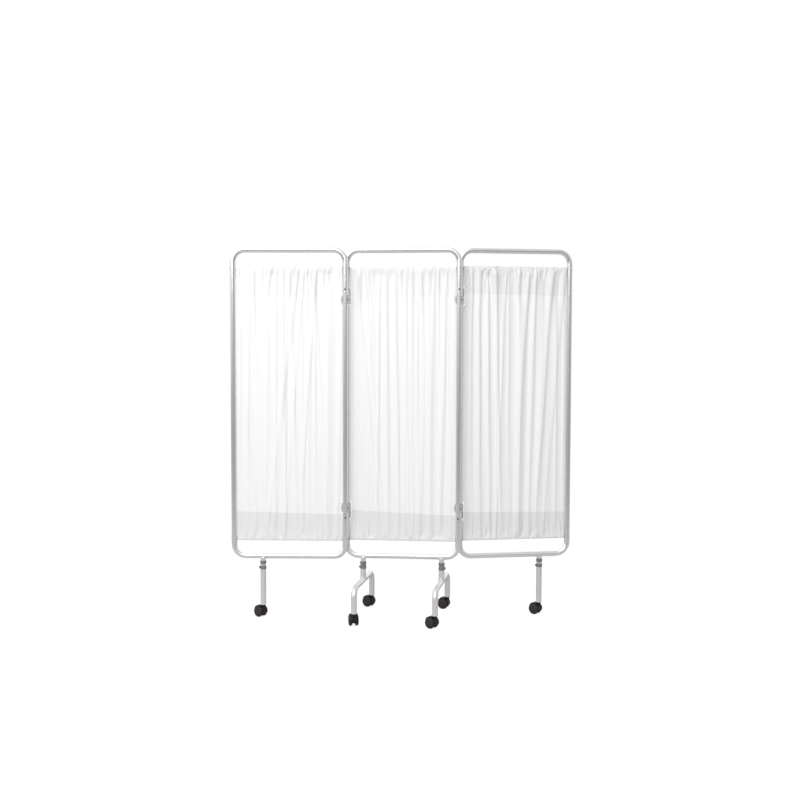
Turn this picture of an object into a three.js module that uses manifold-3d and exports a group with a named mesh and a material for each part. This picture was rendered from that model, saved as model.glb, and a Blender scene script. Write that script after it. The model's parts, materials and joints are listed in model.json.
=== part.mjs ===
// Folding ward screen on casters: three tube frames with gathered curtains, clipped stile to stile.
// Millimetres, Z up. X runs along the centre panel and Y away from its front face.
// The origin lies on the floor under the middle of the whole screen.
// Each group with a name stands on the axis of one joint, so the scene graph is the chain of joints:
// a wheel spins about its group's Y, and every other group moves along or about its Z.

import * as THREE from 'three';
import { mergeVertices } from 'three/addons/utils/BufferGeometryUtils.js';
import Module from 'manifold-3d';

const wasm = await Module();
wasm.setup();

// Panels
const overallHeight = 1650;
const panelWidth = 522;
const groundClearance = 265;
const cornerRadius = 52;
const tubeDiameter = 25;
const tubeWall = 1.2;
const stileSpacing = 28;

// How the screen stands, in degrees seen from above
const linkAngles = { left: 82, right: 78 };
const panelAngles = { left: 4, right: 14 };
const footTurn = -6;
const casterTurns = {
  left_leg: -36,
  right_leg: -46,
  left_foot_front: -69,
  left_foot_rear: -24,
  right_foot_front: -29,
  right_foot_rear: -9,
};

// Running gaps
const seatGap = 0.3;
const slideGap = 0.35;
const clipGap = 0.35;
const overrun = 5;
const weldTolerance = 0.001;

// Curtain rods and the pockets that they run through
const rodDiameter = 6;
const topRodDrop = 93;
const bottomRodRise = 88;
const pocketGap = 0.45;
const pocketWall = 1.7;

// Curtains
const curtainGap = 0.8;
const clothThickness = 2.6;
const foldDepth = 6;
const gatherDepth = 1.4;
const hemDrop = 6.5;
const headerRises = { left: 9, centre: 7, right: 12 };
const edgeThickness = 6;
const pocketFade = 12;
const foldCount = 11;
const gatherCount = 44;
const foldPhases = { left: 0.4, centre: 1.1, right: 2.6 };
const clipNotch = 5.7;
const clipNotchRoom = 2;

// Legs and feet
const stubDiameter = 21.6;
const stubWall = 1.5;
const stubLength = 83;
const legInset = 141;
const footInset = 85;
const footSpread = 350;
const footBendRadius = 42;
const footRise = 166;
const ringHeight = 17;
const ringDiameter = 28.4;
const ringLip = 2.5;
const ringTop = 234.5;
const ringChamfer = 1.5;
const legDrawnOut = 5;
const lugReach = 4.5;
const lugWidth = 9;
const plugDepth = 14;
const endRingDiameter = 26.8;
const endRingHeight = 3;

// Hinge clips
const clipHeight = 36;
const clipSpineHeight = 32;
const clipSideWall = 3.4;
const clipCrownWall = 2.2;
const clipEar = 5;
const clipEndInset = 231;

// Casters
const casterHeight = 57;
const wheelDiameter = 50;
const wheelWidth = 17;
const treadWidth = 13;
const wheelGap = 12;
const trail = 18;
const swivelPinDiameter = 7;
const swivelPinLength = 26;
const axleDiameter = 6;
const hubDiameter = 13;
const hubRecess = 11.5;
const rimWall = 4;
const axleCover = 3.4;
const webGap = 0.7;
const wheelWellGap = 1.2;
const hoodWall = 2.2;
const hoodSide = 0.4;
const neckDiameter = 18;
const bodyHubDiameter = 17;

// Facets
const tubeSides = 14;
const boreSides = 8;
const fitSides = 12;
const bendSteps = 4;
const pinSides = 8;
const wheelSides = 14;
const domeSteps = 3;
const wellSides = 16;
const clipSteps = 7;
const hoodSteps = 8;
const curtainColumns = 50;

// Hood of a caster, in degrees about its axle from the swivel pin's side
const hoodStart = -20;
const hoodEnd = 150;

// Rows of a curtain between its pockets, as shares of the height between the rods
const rowShares = [0.33, 0.67];

// Slow waves that shift and swell a curtain's folds: their turns across and up it, and of its phase
const broadDrift = { size: 0.42, across: 1.3, up: 0.35, phases: 1 };
const narrowDrift = { size: 0.2, across: 3.1, up: -0.5, phases: 2.7 };
const foldSwell = { size: 0.38, across: 2.3, up: 0.15, phases: 2 };

// Shape of one fold, and how shallow the folds start at a curtain's edges
const foldSkewShare = 0.2;
const foldSkewAngle = 1.3;
const edgeDepthShare = 0.25;
const edgeFadeShare = 1 / 12;

const tubeRadius = tubeDiameter / 2;
const stileSpan = panelWidth - tubeDiameter;
const frameHeight = overallHeight - groundClearance - tubeDiameter;
const frameMiddle = groundClearance + tubeRadius + frameHeight / 2;
const topRodHeight = overallHeight - topRodDrop;
const bottomRodHeight = groundClearance + bottomRodRise;
const curtainWidth = stileSpan - tubeDiameter - 2 * curtainGap;
const clipRise = frameHeight / 2 + tubeRadius - clipEndInset;
const stubRadius = stubDiameter / 2;
const ringRadius = ringDiameter / 2;
const wheelRadius = wheelDiameter / 2;
const axleRadius = axleDiameter / 2;
const swivelPinRadius = swivelPinDiameter / 2;

const quarterTurn = Math.PI / 2;
const halfTurn = Math.PI;
const fullTurn = 2 * Math.PI;
const xAxis = new THREE.Vector3(1, 0, 0);
const yAxis = new THREE.Vector3(0, 1, 0);
const zAxis = new THREE.Vector3(0, 0, 1);

const finishes = {
  frameTube: new THREE.MeshStandardMaterial({ color: 0xc6c7c8, roughness: 0.34, metalness: 0.85 }),
  legTube: new THREE.MeshStandardMaterial({ color: 0xc2c4c5, roughness: 0.42, metalness: 0.75 }),
  clip: new THREE.MeshStandardMaterial({ color: 0xb4b5b3, roughness: 0.5, metalness: 0.4 }),
  collar: new THREE.MeshStandardMaterial({ color: 0x74777a, roughness: 0.55, metalness: 0 }),
  steel: new THREE.MeshStandardMaterial({ color: 0xaaacae, roughness: 0.3, metalness: 1 }),
  caster: new THREE.MeshStandardMaterial({ color: 0x2c2a2a, roughness: 0.5, metalness: 0 }),
  wheel: new THREE.MeshStandardMaterial({ color: 0x312f2f, roughness: 0.6, metalness: 0 }),
  cloth: new THREE.MeshStandardMaterial({ color: 0xf3f3f3, roughness: 0.55, metalness: 0 }),
};

const radians = THREE.MathUtils.degToRad;

// The radius of a facetted hole whose flats touch a circle of the given radius
function roundHole(radius, sides) {
  return radius / Math.cos(Math.PI / sides);
}

// A closed geometry as a solid that can be joined and cut
function solidOf(geometry) {
  const plain = geometry.clone();
  plain.deleteAttribute('normal');
  plain.deleteAttribute('uv');
  const welded = mergeVertices(plain, weldTolerance);
  return new wasm.Manifold(new wasm.Mesh({
    numProp: 3,
    vertProperties: new Float32Array(welded.attributes.position.array),
    triVerts: new Uint32Array(welded.index.array),
  }));
}

function geometryOf(solid) {
  const mesh = solid.getMesh();
  const geometry = new THREE.BufferGeometry();
  geometry.setAttribute('position', new THREE.BufferAttribute(mesh.vertProperties, 3));
  geometry.setIndex(new THREE.BufferAttribute(mesh.triVerts, 1));
  geometry.computeVertexNormals();
  return geometry;
}

function addMesh(parent, name, geometry, finish) {
  const mesh = new THREE.Mesh(geometry, finish);
  mesh.name = name;
  parent.add(mesh);
  return mesh;
}

function addGroup(parent, name = '') {
  const group = new THREE.Group();
  group.name = name;
  parent.add(group);
  return group;
}

// An upright cylinder between two heights
function uprightRod(radius, low, high, sides) {
  return new THREE.CylinderGeometry(radius, radius, high - low, sides)
    .rotateX(quarterTurn)
    .translate(0, 0, (low + high) / 2);
}

// A profile of [radius, height] points turned about Z
function upright(profile, sides) {
  const points = profile.map(([radius, height]) => new THREE.Vector2(radius, height));
  return new THREE.LatheGeometry(points, sides).rotateX(quarterTurn);
}

// Stations round a bend: each has its place and the two directions that span its section
function bend(centre, radius, across, up, side, start, end) {
  const stations = [];
  for (let step = 0; step <= bendSteps; step += 1) {
    const angle = start + (end - start) * step / bendSteps;
    const out = across.clone().multiplyScalar(Math.cos(angle)).addScaledVector(up, Math.sin(angle));
    stations.push({ place: centre.clone().addScaledVector(out, radius), out, side });
  }
  return stations;
}

// A round bar through all stations, closed on itself or capped at both ends
function barThrough(stations, radius, sides, closed) {
  const positions = [];
  const faces = [];
  for (const { place, out, side } of stations) {
    for (let j = 0; j < sides; j += 1) {
      const angle = fullTurn * j / sides;
      const point = place.clone().addScaledVector(out, radius * Math.cos(angle));
      positions.push(...point.addScaledVector(side, radius * Math.sin(angle)).toArray());
    }
  }
  const last = closed ? stations.length : stations.length - 1;
  for (let i = 0; i < last; i += 1) {
    const ring = i * sides;
    const next = ((i + 1) % stations.length) * sides;
    for (let j = 0; j < sides; j += 1) {
      const k = (j + 1) % sides;
      faces.push(ring + j, ring + k, next + k, ring + j, next + k, next + j);
    }
  }
  if (!closed) {
    for (let j = 1; j < sides - 1; j += 1) {
      const end = last * sides;
      faces.push(0, j + 1, j, end, end + j, end + j + 1);
    }
  }
  const geometry = new THREE.BufferGeometry();
  geometry.setAttribute('position', new THREE.Float32BufferAttribute(positions, 3));
  geometry.setIndex(faces);
  return geometry;
}

// One welded frame: a loop of tube with a stub under its bottom rail at each leg
function makeFrame(stubPlaces) {
  const across = stileSpan / 2 - cornerRadius;
  const rise = frameHeight / 2 - cornerRadius;
  const corners = [[1, -1], [1, 1], [-1, 1], [-1, -1]];
  const loop = corners.flatMap(([sideways, upward], index) => bend(
    new THREE.Vector3(sideways * across, 0, frameMiddle + upward * rise),
    cornerRadius, xAxis, zAxis, yAxis, (index - 1) * quarterTurn, index * quarterTurn));
  let tube = solidOf(barThrough(loop, tubeRadius, tubeSides, true));
  let hollow = solidOf(barThrough(loop, tubeRadius - tubeWall, boreSides, true));
  const railHeight = groundClearance + tubeRadius;
  const stubEnd = groundClearance - stubLength;
  for (const place of stubPlaces) {
    const stub = uprightRod(stubRadius, stubEnd, railHeight, fitSides).translate(place, 0, 0);
    const bore = uprightRod(stubRadius - stubWall, stubEnd - overrun, railHeight, boreSides)
      .translate(place, 0, 0);
    tube = tube.add(solidOf(stub));
    hollow = hollow.add(solidOf(bore));
  }
  return geometryOf(tube.subtract(hollow));
}

// A curtain rod between two stiles
function makeRod(height) {
  const length = stileSpan - 2 * (tubeRadius + seatGap);
  return new THREE.CylinderGeometry(rodDiameter / 2, rodDiameter / 2, length, pinSides)
    .rotateZ(quarterTurn)
    .translate(0, 0, height);
}

// A slow wave at a place of the curtain
function waveAt(wave, share, rowShare, phase) {
  return wave.size * Math.sin(
    fullTurn * (wave.across * share + wave.up * rowShare) + wave.phases * phase);
}

// How far a fold leaves the middle plane, as a share of its depth, at a share of the width and height
function foldAt(share, rowShare, phase) {
  const drift = waveAt(broadDrift, share, rowShare, phase) + waveAt(narrowDrift, share, rowShare, phase);
  const swell = 1 - foldSwell.size + waveAt(foldSwell, share, rowShare, phase);
  const fromEdge = Math.min(share, 1 - share);
  const edge = Math.min(1, edgeDepthShare + (1 - edgeDepthShare) * fromEdge / edgeFadeShare);
  const angle = fullTurn * (foldCount * share + drift) + phase;
  return edge * swell * (Math.sin(angle) + foldSkewShare * Math.sin(2 * angle + foldSkewAngle));
}

// A curtain: a gathered sheet with a pocket round each rod, set back beside the clips at its seams
function makeCurtain(side, seams) {
  const phase = foldPhases[side];
  const pocketThickness = rodDiameter + 2 * (pocketGap + pocketWall);
  const between = topRodHeight - bottomRodHeight;
  const rows = [
    { height: bottomRodHeight - hemDrop, thickness: edgeThickness, depth: 0, gathers: 0.4 },
    { height: bottomRodHeight, thickness: pocketThickness, depth: 0, gathers: 1 },
    { height: bottomRodHeight + pocketFade, thickness: clothThickness, depth: 0.5, gathers: 0 },
    ...rowShares.map((share) => (
      { height: bottomRodHeight + share * between, thickness: clothThickness, depth: 1, gathers: 0 })),
    { height: topRodHeight - pocketFade, thickness: clothThickness, depth: 0.6, gathers: 0 },
    { height: topRodHeight, thickness: pocketThickness, depth: 0, gathers: 1 },
    { height: topRodHeight + headerRises[side], thickness: edgeThickness, depth: 0, gathers: 0.6 },
  ];
  const sheet = new THREE.BoxGeometry(
    curtainWidth, edgeThickness, rows.length - 1, curtainColumns, 1, rows.length - 1);
  const points = sheet.attributes.position;
  for (let i = 0; i < points.count; i += 1) {
    const index = Math.round(points.getZ(i) + (rows.length - 1) / 2);
    const row = rows[index];
    const share = points.getX(i) / curtainWidth + 0.5;
    const rowShare = index / (rows.length - 1);
    const fold = foldDepth * row.depth * foldAt(share, rowShare, phase);
    const gather = gatherDepth * row.gathers * Math.sin(halfTurn * gatherCount * share + phase) ** 2;
    const half = row.thickness / 2 + gather;
    points.setXYZ(i, points.getX(i), fold + Math.sign(points.getY(i)) * half, row.height);
  }
  let cloth = solidOf(sheet);
  const bore = roundHole(rodDiameter / 2 + pocketGap, pinSides);
  for (const height of [bottomRodHeight, topRodHeight]) {
    cloth = cloth.subtract(solidOf(
      new THREE.CylinderGeometry(bore, bore, curtainWidth + 2 * overrun, pinSides)
        .rotateZ(quarterTurn)
        .translate(0, 0, height)));
  }
  const notchHeight = clipHeight + clipSpineHeight + 2 * clipNotchRoom;
  for (const seam of seams) {
    for (const level of [-1, 1]) {
      const notchMiddle = frameMiddle + level * (clipRise + clipSpineHeight / 2);
      cloth = cloth.subtract(solidOf(
        new THREE.BoxGeometry(2 * clipNotch, tubeDiameter, notchHeight)
          .translate(seam * curtainWidth / 2, 0, notchMiddle)));
    }
  }
  return geometryOf(cloth);
}

// The U-shaped half of a hinge clip: it wraps the rear stile, and its arms reach the front one
function makeClipBody() {
  const bore = roundHole(tubeRadius + clipGap, 2 * clipSteps);
  const halfWidth = bore + clipSideWall;
  const crown = bore + clipCrownWall;
  const parting = stileSpacing - seatGap / 2;
  const saddle = new THREE.Shape();
  saddle.moveTo(parting, halfWidth);
  saddle.lineTo(0, halfWidth);
  saddle.absellipse(0, 0, crown, halfWidth, quarterTurn, 3 * quarterTurn);
  saddle.lineTo(parting, -halfWidth);
  saddle.lineTo(parting, -bore);
  saddle.lineTo(0, -bore);
  saddle.absarc(0, 0, bore, 3 * quarterTurn, quarterTurn, true);
  saddle.lineTo(parting, bore);
  const spine = new THREE.Shape();
  spine.absellipse(0, 0, crown, halfWidth, quarterTurn, 3 * quarterTurn);
  spine.absarc(0, 0, bore, 3 * quarterTurn, quarterTurn, true);
  const options = { bevelEnabled: false, curveSegments: clipSteps };
  const body = solidOf(new THREE.ExtrudeGeometry(saddle, { ...options, depth: clipHeight }))
    .add(solidOf(new THREE.ExtrudeGeometry(spine, { ...options, depth: clipHeight + clipSpineHeight })));
  return geometryOf(body).rotateZ(halfTurn).translate(0, 0, -clipHeight / 2);
}

// The saddle that closes a hinge clip round the front stile
function makeClipCap() {
  const bore = roundHole(tubeRadius + clipGap, 2 * clipSteps);
  const halfWidth = bore + clipSideWall;
  const crown = bore + clipCrownWall;
  const parting = seatGap / 2;
  const crownAngle = Math.acos(clipEar / crown);
  const boreAngle = Math.acos(parting / bore);
  const saddle = new THREE.Shape();
  saddle.moveTo(parting, halfWidth);
  saddle.lineTo(parting, bore * Math.sin(boreAngle));
  saddle.absarc(0, 0, bore, boreAngle, -boreAngle, true);
  saddle.lineTo(parting, -halfWidth);
  saddle.lineTo(clipEar, -halfWidth);
  saddle.lineTo(clipEar, -crown * Math.sin(crownAngle));
  saddle.absarc(0, 0, crown, -crownAngle, crownAngle, false);
  saddle.lineTo(clipEar, halfWidth);
  return new THREE.ExtrudeGeometry(
    saddle, { bevelEnabled: false, curveSegments: clipSteps, depth: clipHeight })
    .translate(stileSpacing, 0, -clipHeight / 2)
    .rotateZ(halfTurn);
}

// The plastic collar that is pressed on a stub and stops the leg
function makeStopCollar() {
  const bore = roundHole(stubRadius + seatGap, fitSides);
  return upright([
    [bore, 0],
    [ringRadius - ringChamfer, 0],
    [ringRadius, ringChamfer],
    [ringRadius, ringHeight - ringChamfer],
    [ringRadius - ringChamfer, ringHeight],
    [bore, ringHeight],
    [bore, 0],
  ], fitSides);
}

// The ring that locks a leg to its stub: it caps the leg tube, and its lug holds the clamp screw
function makeLockRing() {
  const legBore = roundHole(tubeRadius + seatGap, fitSides);
  const stubBore = roundHole(stubRadius + seatGap, fitSides);
  const ring = solidOf(upright([
    [legBore, 0],
    [ringRadius, 0],
    [ringRadius, ringHeight - ringChamfer],
    [ringRadius - ringChamfer, ringHeight],
    [stubBore, ringHeight],
    [stubBore, ringHeight - ringLip],
    [legBore, ringHeight - ringLip],
    [legBore, 0],
  ], fitSides));
  const reach = ringRadius + lugReach - lugWidth / 2;
  const plan = new THREE.Shape();
  plan.moveTo(-reach, -lugWidth / 2);
  plan.lineTo(-ringRadius + ringChamfer, -lugWidth / 2);
  plan.lineTo(-ringRadius + ringChamfer, lugWidth / 2);
  plan.lineTo(-reach, lugWidth / 2);
  plan.absarc(-reach, 0, lugWidth / 2, quarterTurn, 3 * quarterTurn, false);
  const lug = new THREE.ExtrudeGeometry(
    plan, { bevelEnabled: false, curveSegments: bendSteps, depth: ringHeight - 2 * ringChamfer })
    .translate(0, 0, ringChamfer);
  const cut = uprightRod(legBore, 0, ringHeight - ringLip, fitSides);
  return geometryOf(ring.add(solidOf(lug)).subtract(solidOf(cut)));
}

// The end of every leg: a plug with its ring, and the steel pin that a caster turns on
function legEnd() {
  return solidOf(uprightRod(endRingDiameter / 2, casterHeight, casterHeight + endRingHeight, tubeSides))
    .add(solidOf(uprightRod(
      swivelPinRadius, casterHeight - swivelPinLength, casterHeight + endRingHeight, pinSides)));
}

// An outer leg: a straight tube that slides on its stub
function makeLeg() {
  const top = ringTop - ringLip - seatGap;
  const bore = roundHole(stubRadius + slideGap, fitSides);
  const tube = solidOf(uprightRod(tubeRadius, casterHeight, top, tubeSides));
  const hollow = solidOf(uprightRod(bore, casterHeight + plugDepth, top + overrun, fitSides));
  return geometryOf(tube.add(legEnd()).subtract(hollow));
}

// A foot of the centre panel: a bent U of tube on its two legs, with an upright stem in the middle
function makeFoot() {
  const top = ringTop - ringLip - seatGap;
  const reach = footSpread / 2 - footBendRadius;
  const bendHeight = footRise - footBendRadius;
  const bends = [
    ...bend(new THREE.Vector3(0, -reach, bendHeight), footBendRadius,
      yAxis, zAxis, xAxis, halfTurn, quarterTurn),
    ...bend(new THREE.Vector3(0, reach, bendHeight), footBendRadius,
      yAxis, zAxis, xAxis, quarterTurn, 0),
  ];
  const route = (low) => [
    { ...bends[0], place: bends[0].place.clone().setZ(low) },
    ...bends,
    { ...bends.at(-1), place: bends.at(-1).place.clone().setZ(low) },
  ];
  const bore = roundHole(stubRadius + slideGap, fitSides);
  let foot = solidOf(barThrough(route(casterHeight), tubeRadius, tubeSides, false))
    .add(solidOf(uprightRod(tubeRadius, footRise, top, tubeSides)));
  for (const side of [-1, 1]) foot = foot.add(legEnd().translate([0, side * footSpread / 2, 0]));
  const hollow = solidOf(barThrough(
    route(casterHeight + plugDepth), tubeRadius - tubeWall, boreSides, false))
    .add(solidOf(uprightRod(bore, footRise, top + overrun, fitSides)));
  return geometryOf(foot.subtract(hollow));
}

// The body of a twin-wheel caster: a web between the wheels, a hood over them and the swivel boss
function makeCasterBody() {
  const well = wheelRadius + wheelWellGap;
  const outer = roundHole(well + hoodWall, wellSides);
  const halfWidth = wheelGap / 2 + treadWidth - hoodSide;
  const hub = bodyHubDiameter / 2;
  const side = new THREE.Shape();
  side.moveTo(outer * Math.cos(radians(hoodStart)), outer * Math.sin(radians(hoodStart)));
  side.absarc(0, 0, outer, radians(hoodStart), radians(hoodEnd), false);
  side.absarc(0, 0, hub, radians(hoodEnd), radians(hoodStart) + 3 * quarterTurn, false);
  const block = new THREE.ExtrudeGeometry(
    side, { bevelEnabled: false, curveSegments: hoodSteps, depth: 2 * halfWidth })
    .translate(0, 0, -halfWidth)
    .rotateX(quarterTurn)
    .translate(-trail, 0, wheelRadius);
  let body = solidOf(block)
    .add(solidOf(uprightRod(neckDiameter / 2, wheelRadius, casterHeight - seatGap, tubeSides)));
  const webHalf = wheelGap / 2 - webGap;
  const wellDepth = wheelWidth + neckDiameter;
  for (const flank of [-1, 1]) {
    body = body.subtract(solidOf(
      new THREE.CylinderGeometry(roundHole(well, wellSides), roundHole(well, wellSides),
        wellDepth, wellSides)
        .rotateY(Math.PI / wellSides)
        .translate(-trail, flank * (webHalf + wellDepth / 2), wheelRadius)));
  }
  const pinHole = roundHole(swivelPinRadius + seatGap, pinSides);
  const pinEnd = casterHeight - swivelPinLength - seatGap;
  body = body.subtract(solidOf(uprightRod(pinHole, pinEnd, casterHeight + overrun, pinSides)));
  const axleHole = roundHole(axleRadius + seatGap, pinSides);
  const axleBore = new THREE.CylinderGeometry(axleHole, axleHole, 2 * halfWidth, pinSides)
    .translate(-trail, 0, wheelRadius);
  return geometryOf(body.subtract(solidOf(axleBore)));
}

// The steel axle that both wheels of a caster run on
function makeAxle() {
  const length = wheelGap + 2 * (wheelWidth - axleCover - seatGap);
  return new THREE.CylinderGeometry(axleRadius, axleRadius, length, pinSides);
}

// A wheel: a hub, a tread and a domed disc, open towards its twin
function makeWheel() {
  const bore = roundHole(axleRadius + seatGap, wheelSides);
  const rim = wheelRadius - rimWall;
  const tread = roundHole(wheelRadius, wheelSides);
  const profile = [
    [0, wheelWidth - axleCover],
    [bore, wheelWidth - axleCover],
    [bore, seatGap],
    [hubDiameter / 2, seatGap],
    [hubDiameter / 2, hubRecess],
    [rim, hubRecess],
    [rim, 0],
    [tread, 0],
  ];
  for (let step = 0; step < domeSteps; step += 1) {
    const angle = quarterTurn * step / domeSteps;
    const rise = (wheelWidth - treadWidth) * Math.sin(angle);
    profile.push([tread * Math.cos(angle), treadWidth + rise]);
  }
  profile.push([0, wheelWidth]);
  const points = profile.map(([radius, along]) => new THREE.Vector2(radius, along));
  return new THREE.LatheGeometry(points, wheelSides, Math.PI / wheelSides);
}

const pieces = {
  rodTop: makeRod(topRodHeight),
  rodBottom: makeRod(bottomRodHeight),
  clipBody: makeClipBody(),
  clipCap: makeClipCap(),
  stopCollar: makeStopCollar(),
  lockRing: makeLockRing(),
  leg: makeLeg(),
  foot: makeFoot(),
  casterBody: makeCasterBody(),
  axle: makeAxle(),
  wheel: makeWheel(),
};

// A frame with its curtain and rods
function addPanel(parent, side, stubPlaces, seams) {
  addMesh(parent, `${side}_frame`, makeFrame(stubPlaces), finishes.frameTube);
  addMesh(parent, `${side}_top_rod`, pieces.rodTop, finishes.steel);
  addMesh(parent, `${side}_bottom_rod`, pieces.rodBottom, finishes.steel);
  addMesh(parent, `${side}_curtain`, makeCurtain(side, seams), finishes.cloth);
}

// The two hinge clips of a seam, on the link between its stiles
function addClips(link, side) {
  for (const [level, sign] of [['upper', 1], ['lower', -1]]) {
    const clip = addGroup(link);
    clip.position.set(side === 'left' ? 0 : stileSpacing, 0, frameMiddle + sign * clipRise);
    if (sign < 0) clip.rotation.x = halfTurn;
    addMesh(clip, `${side}_${level}_clip`, pieces.clipBody, finishes.clip);
    addMesh(clip, `${side}_${level}_clip_cap`, pieces.clipCap, finishes.clip);
  }
}

// A twin-wheel caster: it swivels on the leg's pin, and each wheel spins on the axle
function addCaster(parent, name, place) {
  const swivel = addGroup(parent, `${name}_caster_swivel`);
  swivel.position.set(0, place, 0);
  swivel.rotation.z = radians(casterTurns[name]);
  addMesh(swivel, `${name}_caster_body`, pieces.casterBody, finishes.caster);
  const axle = addMesh(swivel, `${name}_caster_axle`, pieces.axle, finishes.steel);
  axle.position.set(-trail, 0, wheelRadius);
  for (const [letter, flank] of [['a', -1], ['b', 1]]) {
    const spin = addGroup(swivel, `${name}_wheel_${letter}_spin`);
    spin.position.set(-trail, flank * wheelGap / 2, wheelRadius);
    if (flank < 0) spin.rotation.x = halfTurn;
    addMesh(spin, `${name}_wheel_${letter}`, pieces.wheel, finishes.wheel);
  }
}

// The collar on a stub and, below it, the group that slides with the leg
function addLegSlide(parent, name, place, drawnOut, lugTurn) {
  const seat = addGroup(parent);
  seat.position.x = place;
  const collar = addMesh(seat, `${name}_stop_collar`, pieces.stopCollar, finishes.collar);
  collar.position.z = ringTop + drawnOut;
  const slide = addGroup(seat, `${name}_slide`);
  const ring = addMesh(slide, `${name}_lock_ring`, pieces.lockRing, finishes.collar);
  ring.position.z = ringTop - ringHeight;
  ring.rotation.z = lugTurn;
  return slide;
}

function addOuterLeg(parent, side, place) {
  const slide = addLegSlide(parent, `${side}_leg`, place, legDrawnOut, 0);
  addMesh(slide, `${side}_leg`, pieces.leg, finishes.legTube);
  addCaster(slide, `${side}_leg`, 0);
}

function addFoot(parent, side, place, lugTurn) {
  const slide = addLegSlide(parent, `${side}_foot`, place, seatGap, lugTurn);
  const foot = addGroup(slide, `${side}_foot_turn`);
  foot.rotation.z = radians(footTurn);
  addMesh(foot, `${side}_foot`, pieces.foot, finishes.legTube);
  addCaster(foot, `${side}_foot_front`, -footSpread / 2);
  addCaster(foot, `${side}_foot_rear`, footSpread / 2);
}

// A side panel: a link turns about the centre stile, and the panel about its own stile
function addSidePanel(centre, side, sign) {
  const link = addGroup(centre, `${side}_link`);
  link.position.x = sign * stileSpan / 2;
  link.rotation.z = radians(linkAngles[side]);
  addClips(link, side);
  const hinge = addGroup(link, `${side}_panel`);
  hinge.position.x = sign * stileSpacing;
  hinge.rotation.z = radians(panelAngles[side] - linkAngles[side]);
  const panel = addGroup(hinge);
  panel.position.x = sign * stileSpan / 2;
  const legPlace = sign * (panelWidth / 2 - legInset);
  addPanel(panel, side, [legPlace], [-sign]);
  addOuterLeg(panel, side, legPlace);
}

const screen = new THREE.Group();
const centrePanel = addGroup(screen, 'centre_panel');
const footPlace = panelWidth / 2 - footInset;
addPanel(centrePanel, 'centre', [-footPlace, footPlace], [-1, 1]);
addFoot(centrePanel, 'left', -footPlace, 0);
addFoot(centrePanel, 'right', footPlace, halfTurn);
addSidePanel(centrePanel, 'left', -1);
addSidePanel(centrePanel, 'right', 1);

// The origin goes to the floor under the middle of the screen as it stands
screen.updateMatrixWorld(true);
const reach = new THREE.Box3().setFromObject(screen, true).getCenter(new THREE.Vector3());
centrePanel.position.set(-reach.x, -reach.y, 0);

export default screen;
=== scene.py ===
"""Looks of a folding ward privacy screen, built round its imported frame.

Three tube frames with gathered curtains are clipped stile to stile, and they stand on two U-shaped feet
and two single legs with twin-wheel casters. All lengths are metres, and Z is up.
"""

import enum
import json
import logging
import math
from dataclasses import dataclass, field
from typing import Any, Sequence

import bmesh
import bpy
import numpy as np
from mathutils import Matrix, Vector

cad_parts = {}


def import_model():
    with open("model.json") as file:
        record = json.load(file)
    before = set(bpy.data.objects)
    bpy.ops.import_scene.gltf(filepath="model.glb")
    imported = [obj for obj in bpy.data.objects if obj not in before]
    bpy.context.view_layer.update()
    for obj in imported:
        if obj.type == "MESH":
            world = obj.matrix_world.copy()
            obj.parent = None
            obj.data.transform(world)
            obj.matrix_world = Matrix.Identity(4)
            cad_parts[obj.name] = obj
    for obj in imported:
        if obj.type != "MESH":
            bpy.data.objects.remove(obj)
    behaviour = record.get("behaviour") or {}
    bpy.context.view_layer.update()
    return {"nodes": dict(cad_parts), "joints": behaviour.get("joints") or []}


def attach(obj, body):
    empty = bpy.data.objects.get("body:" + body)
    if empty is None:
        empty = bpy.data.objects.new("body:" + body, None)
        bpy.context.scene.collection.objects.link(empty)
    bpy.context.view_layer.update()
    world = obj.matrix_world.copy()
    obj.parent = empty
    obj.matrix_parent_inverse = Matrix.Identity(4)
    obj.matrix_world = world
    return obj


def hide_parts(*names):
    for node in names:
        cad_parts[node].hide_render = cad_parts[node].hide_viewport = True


LOG = logging.getLogger("screen")
Point = tuple[float, float]

# Sizes that several sub-assemblies share
TUBE = 0.025
STUB = 0.0216
SEAT_GAP = 0.0003
TOP_ROD = 1.557
BOTTOM_ROD = 0.353
CLIP_MIDDLE = 0.9575
CLIP_REACH = 0.4615
CLIP_SPINE = 0.032
LEG_BOTTOM = 0.057
LEG_TOP = 0.2317
PLUG_LIP = 0.0005
RING_RADIUS = 0.0139
ON_AXIS = 1e-7


class Side(enum.Enum):
    """The three panels, seen from the front."""

    LEFT = "left"
    CENTRE = "centre"
    RIGHT = "right"


class Level(enum.Enum):
    """The two clips of a seam. The value is the direction that a clip's spine points in."""

    UPPER = 1
    LOWER = -1


class Surface(enum.Enum):
    """What the fine grain of a finish looks like."""

    DRAWN = "fine lines along the tube"
    CAST = "fine pits"
    MOULDED = "fine leathery texture"


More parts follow.
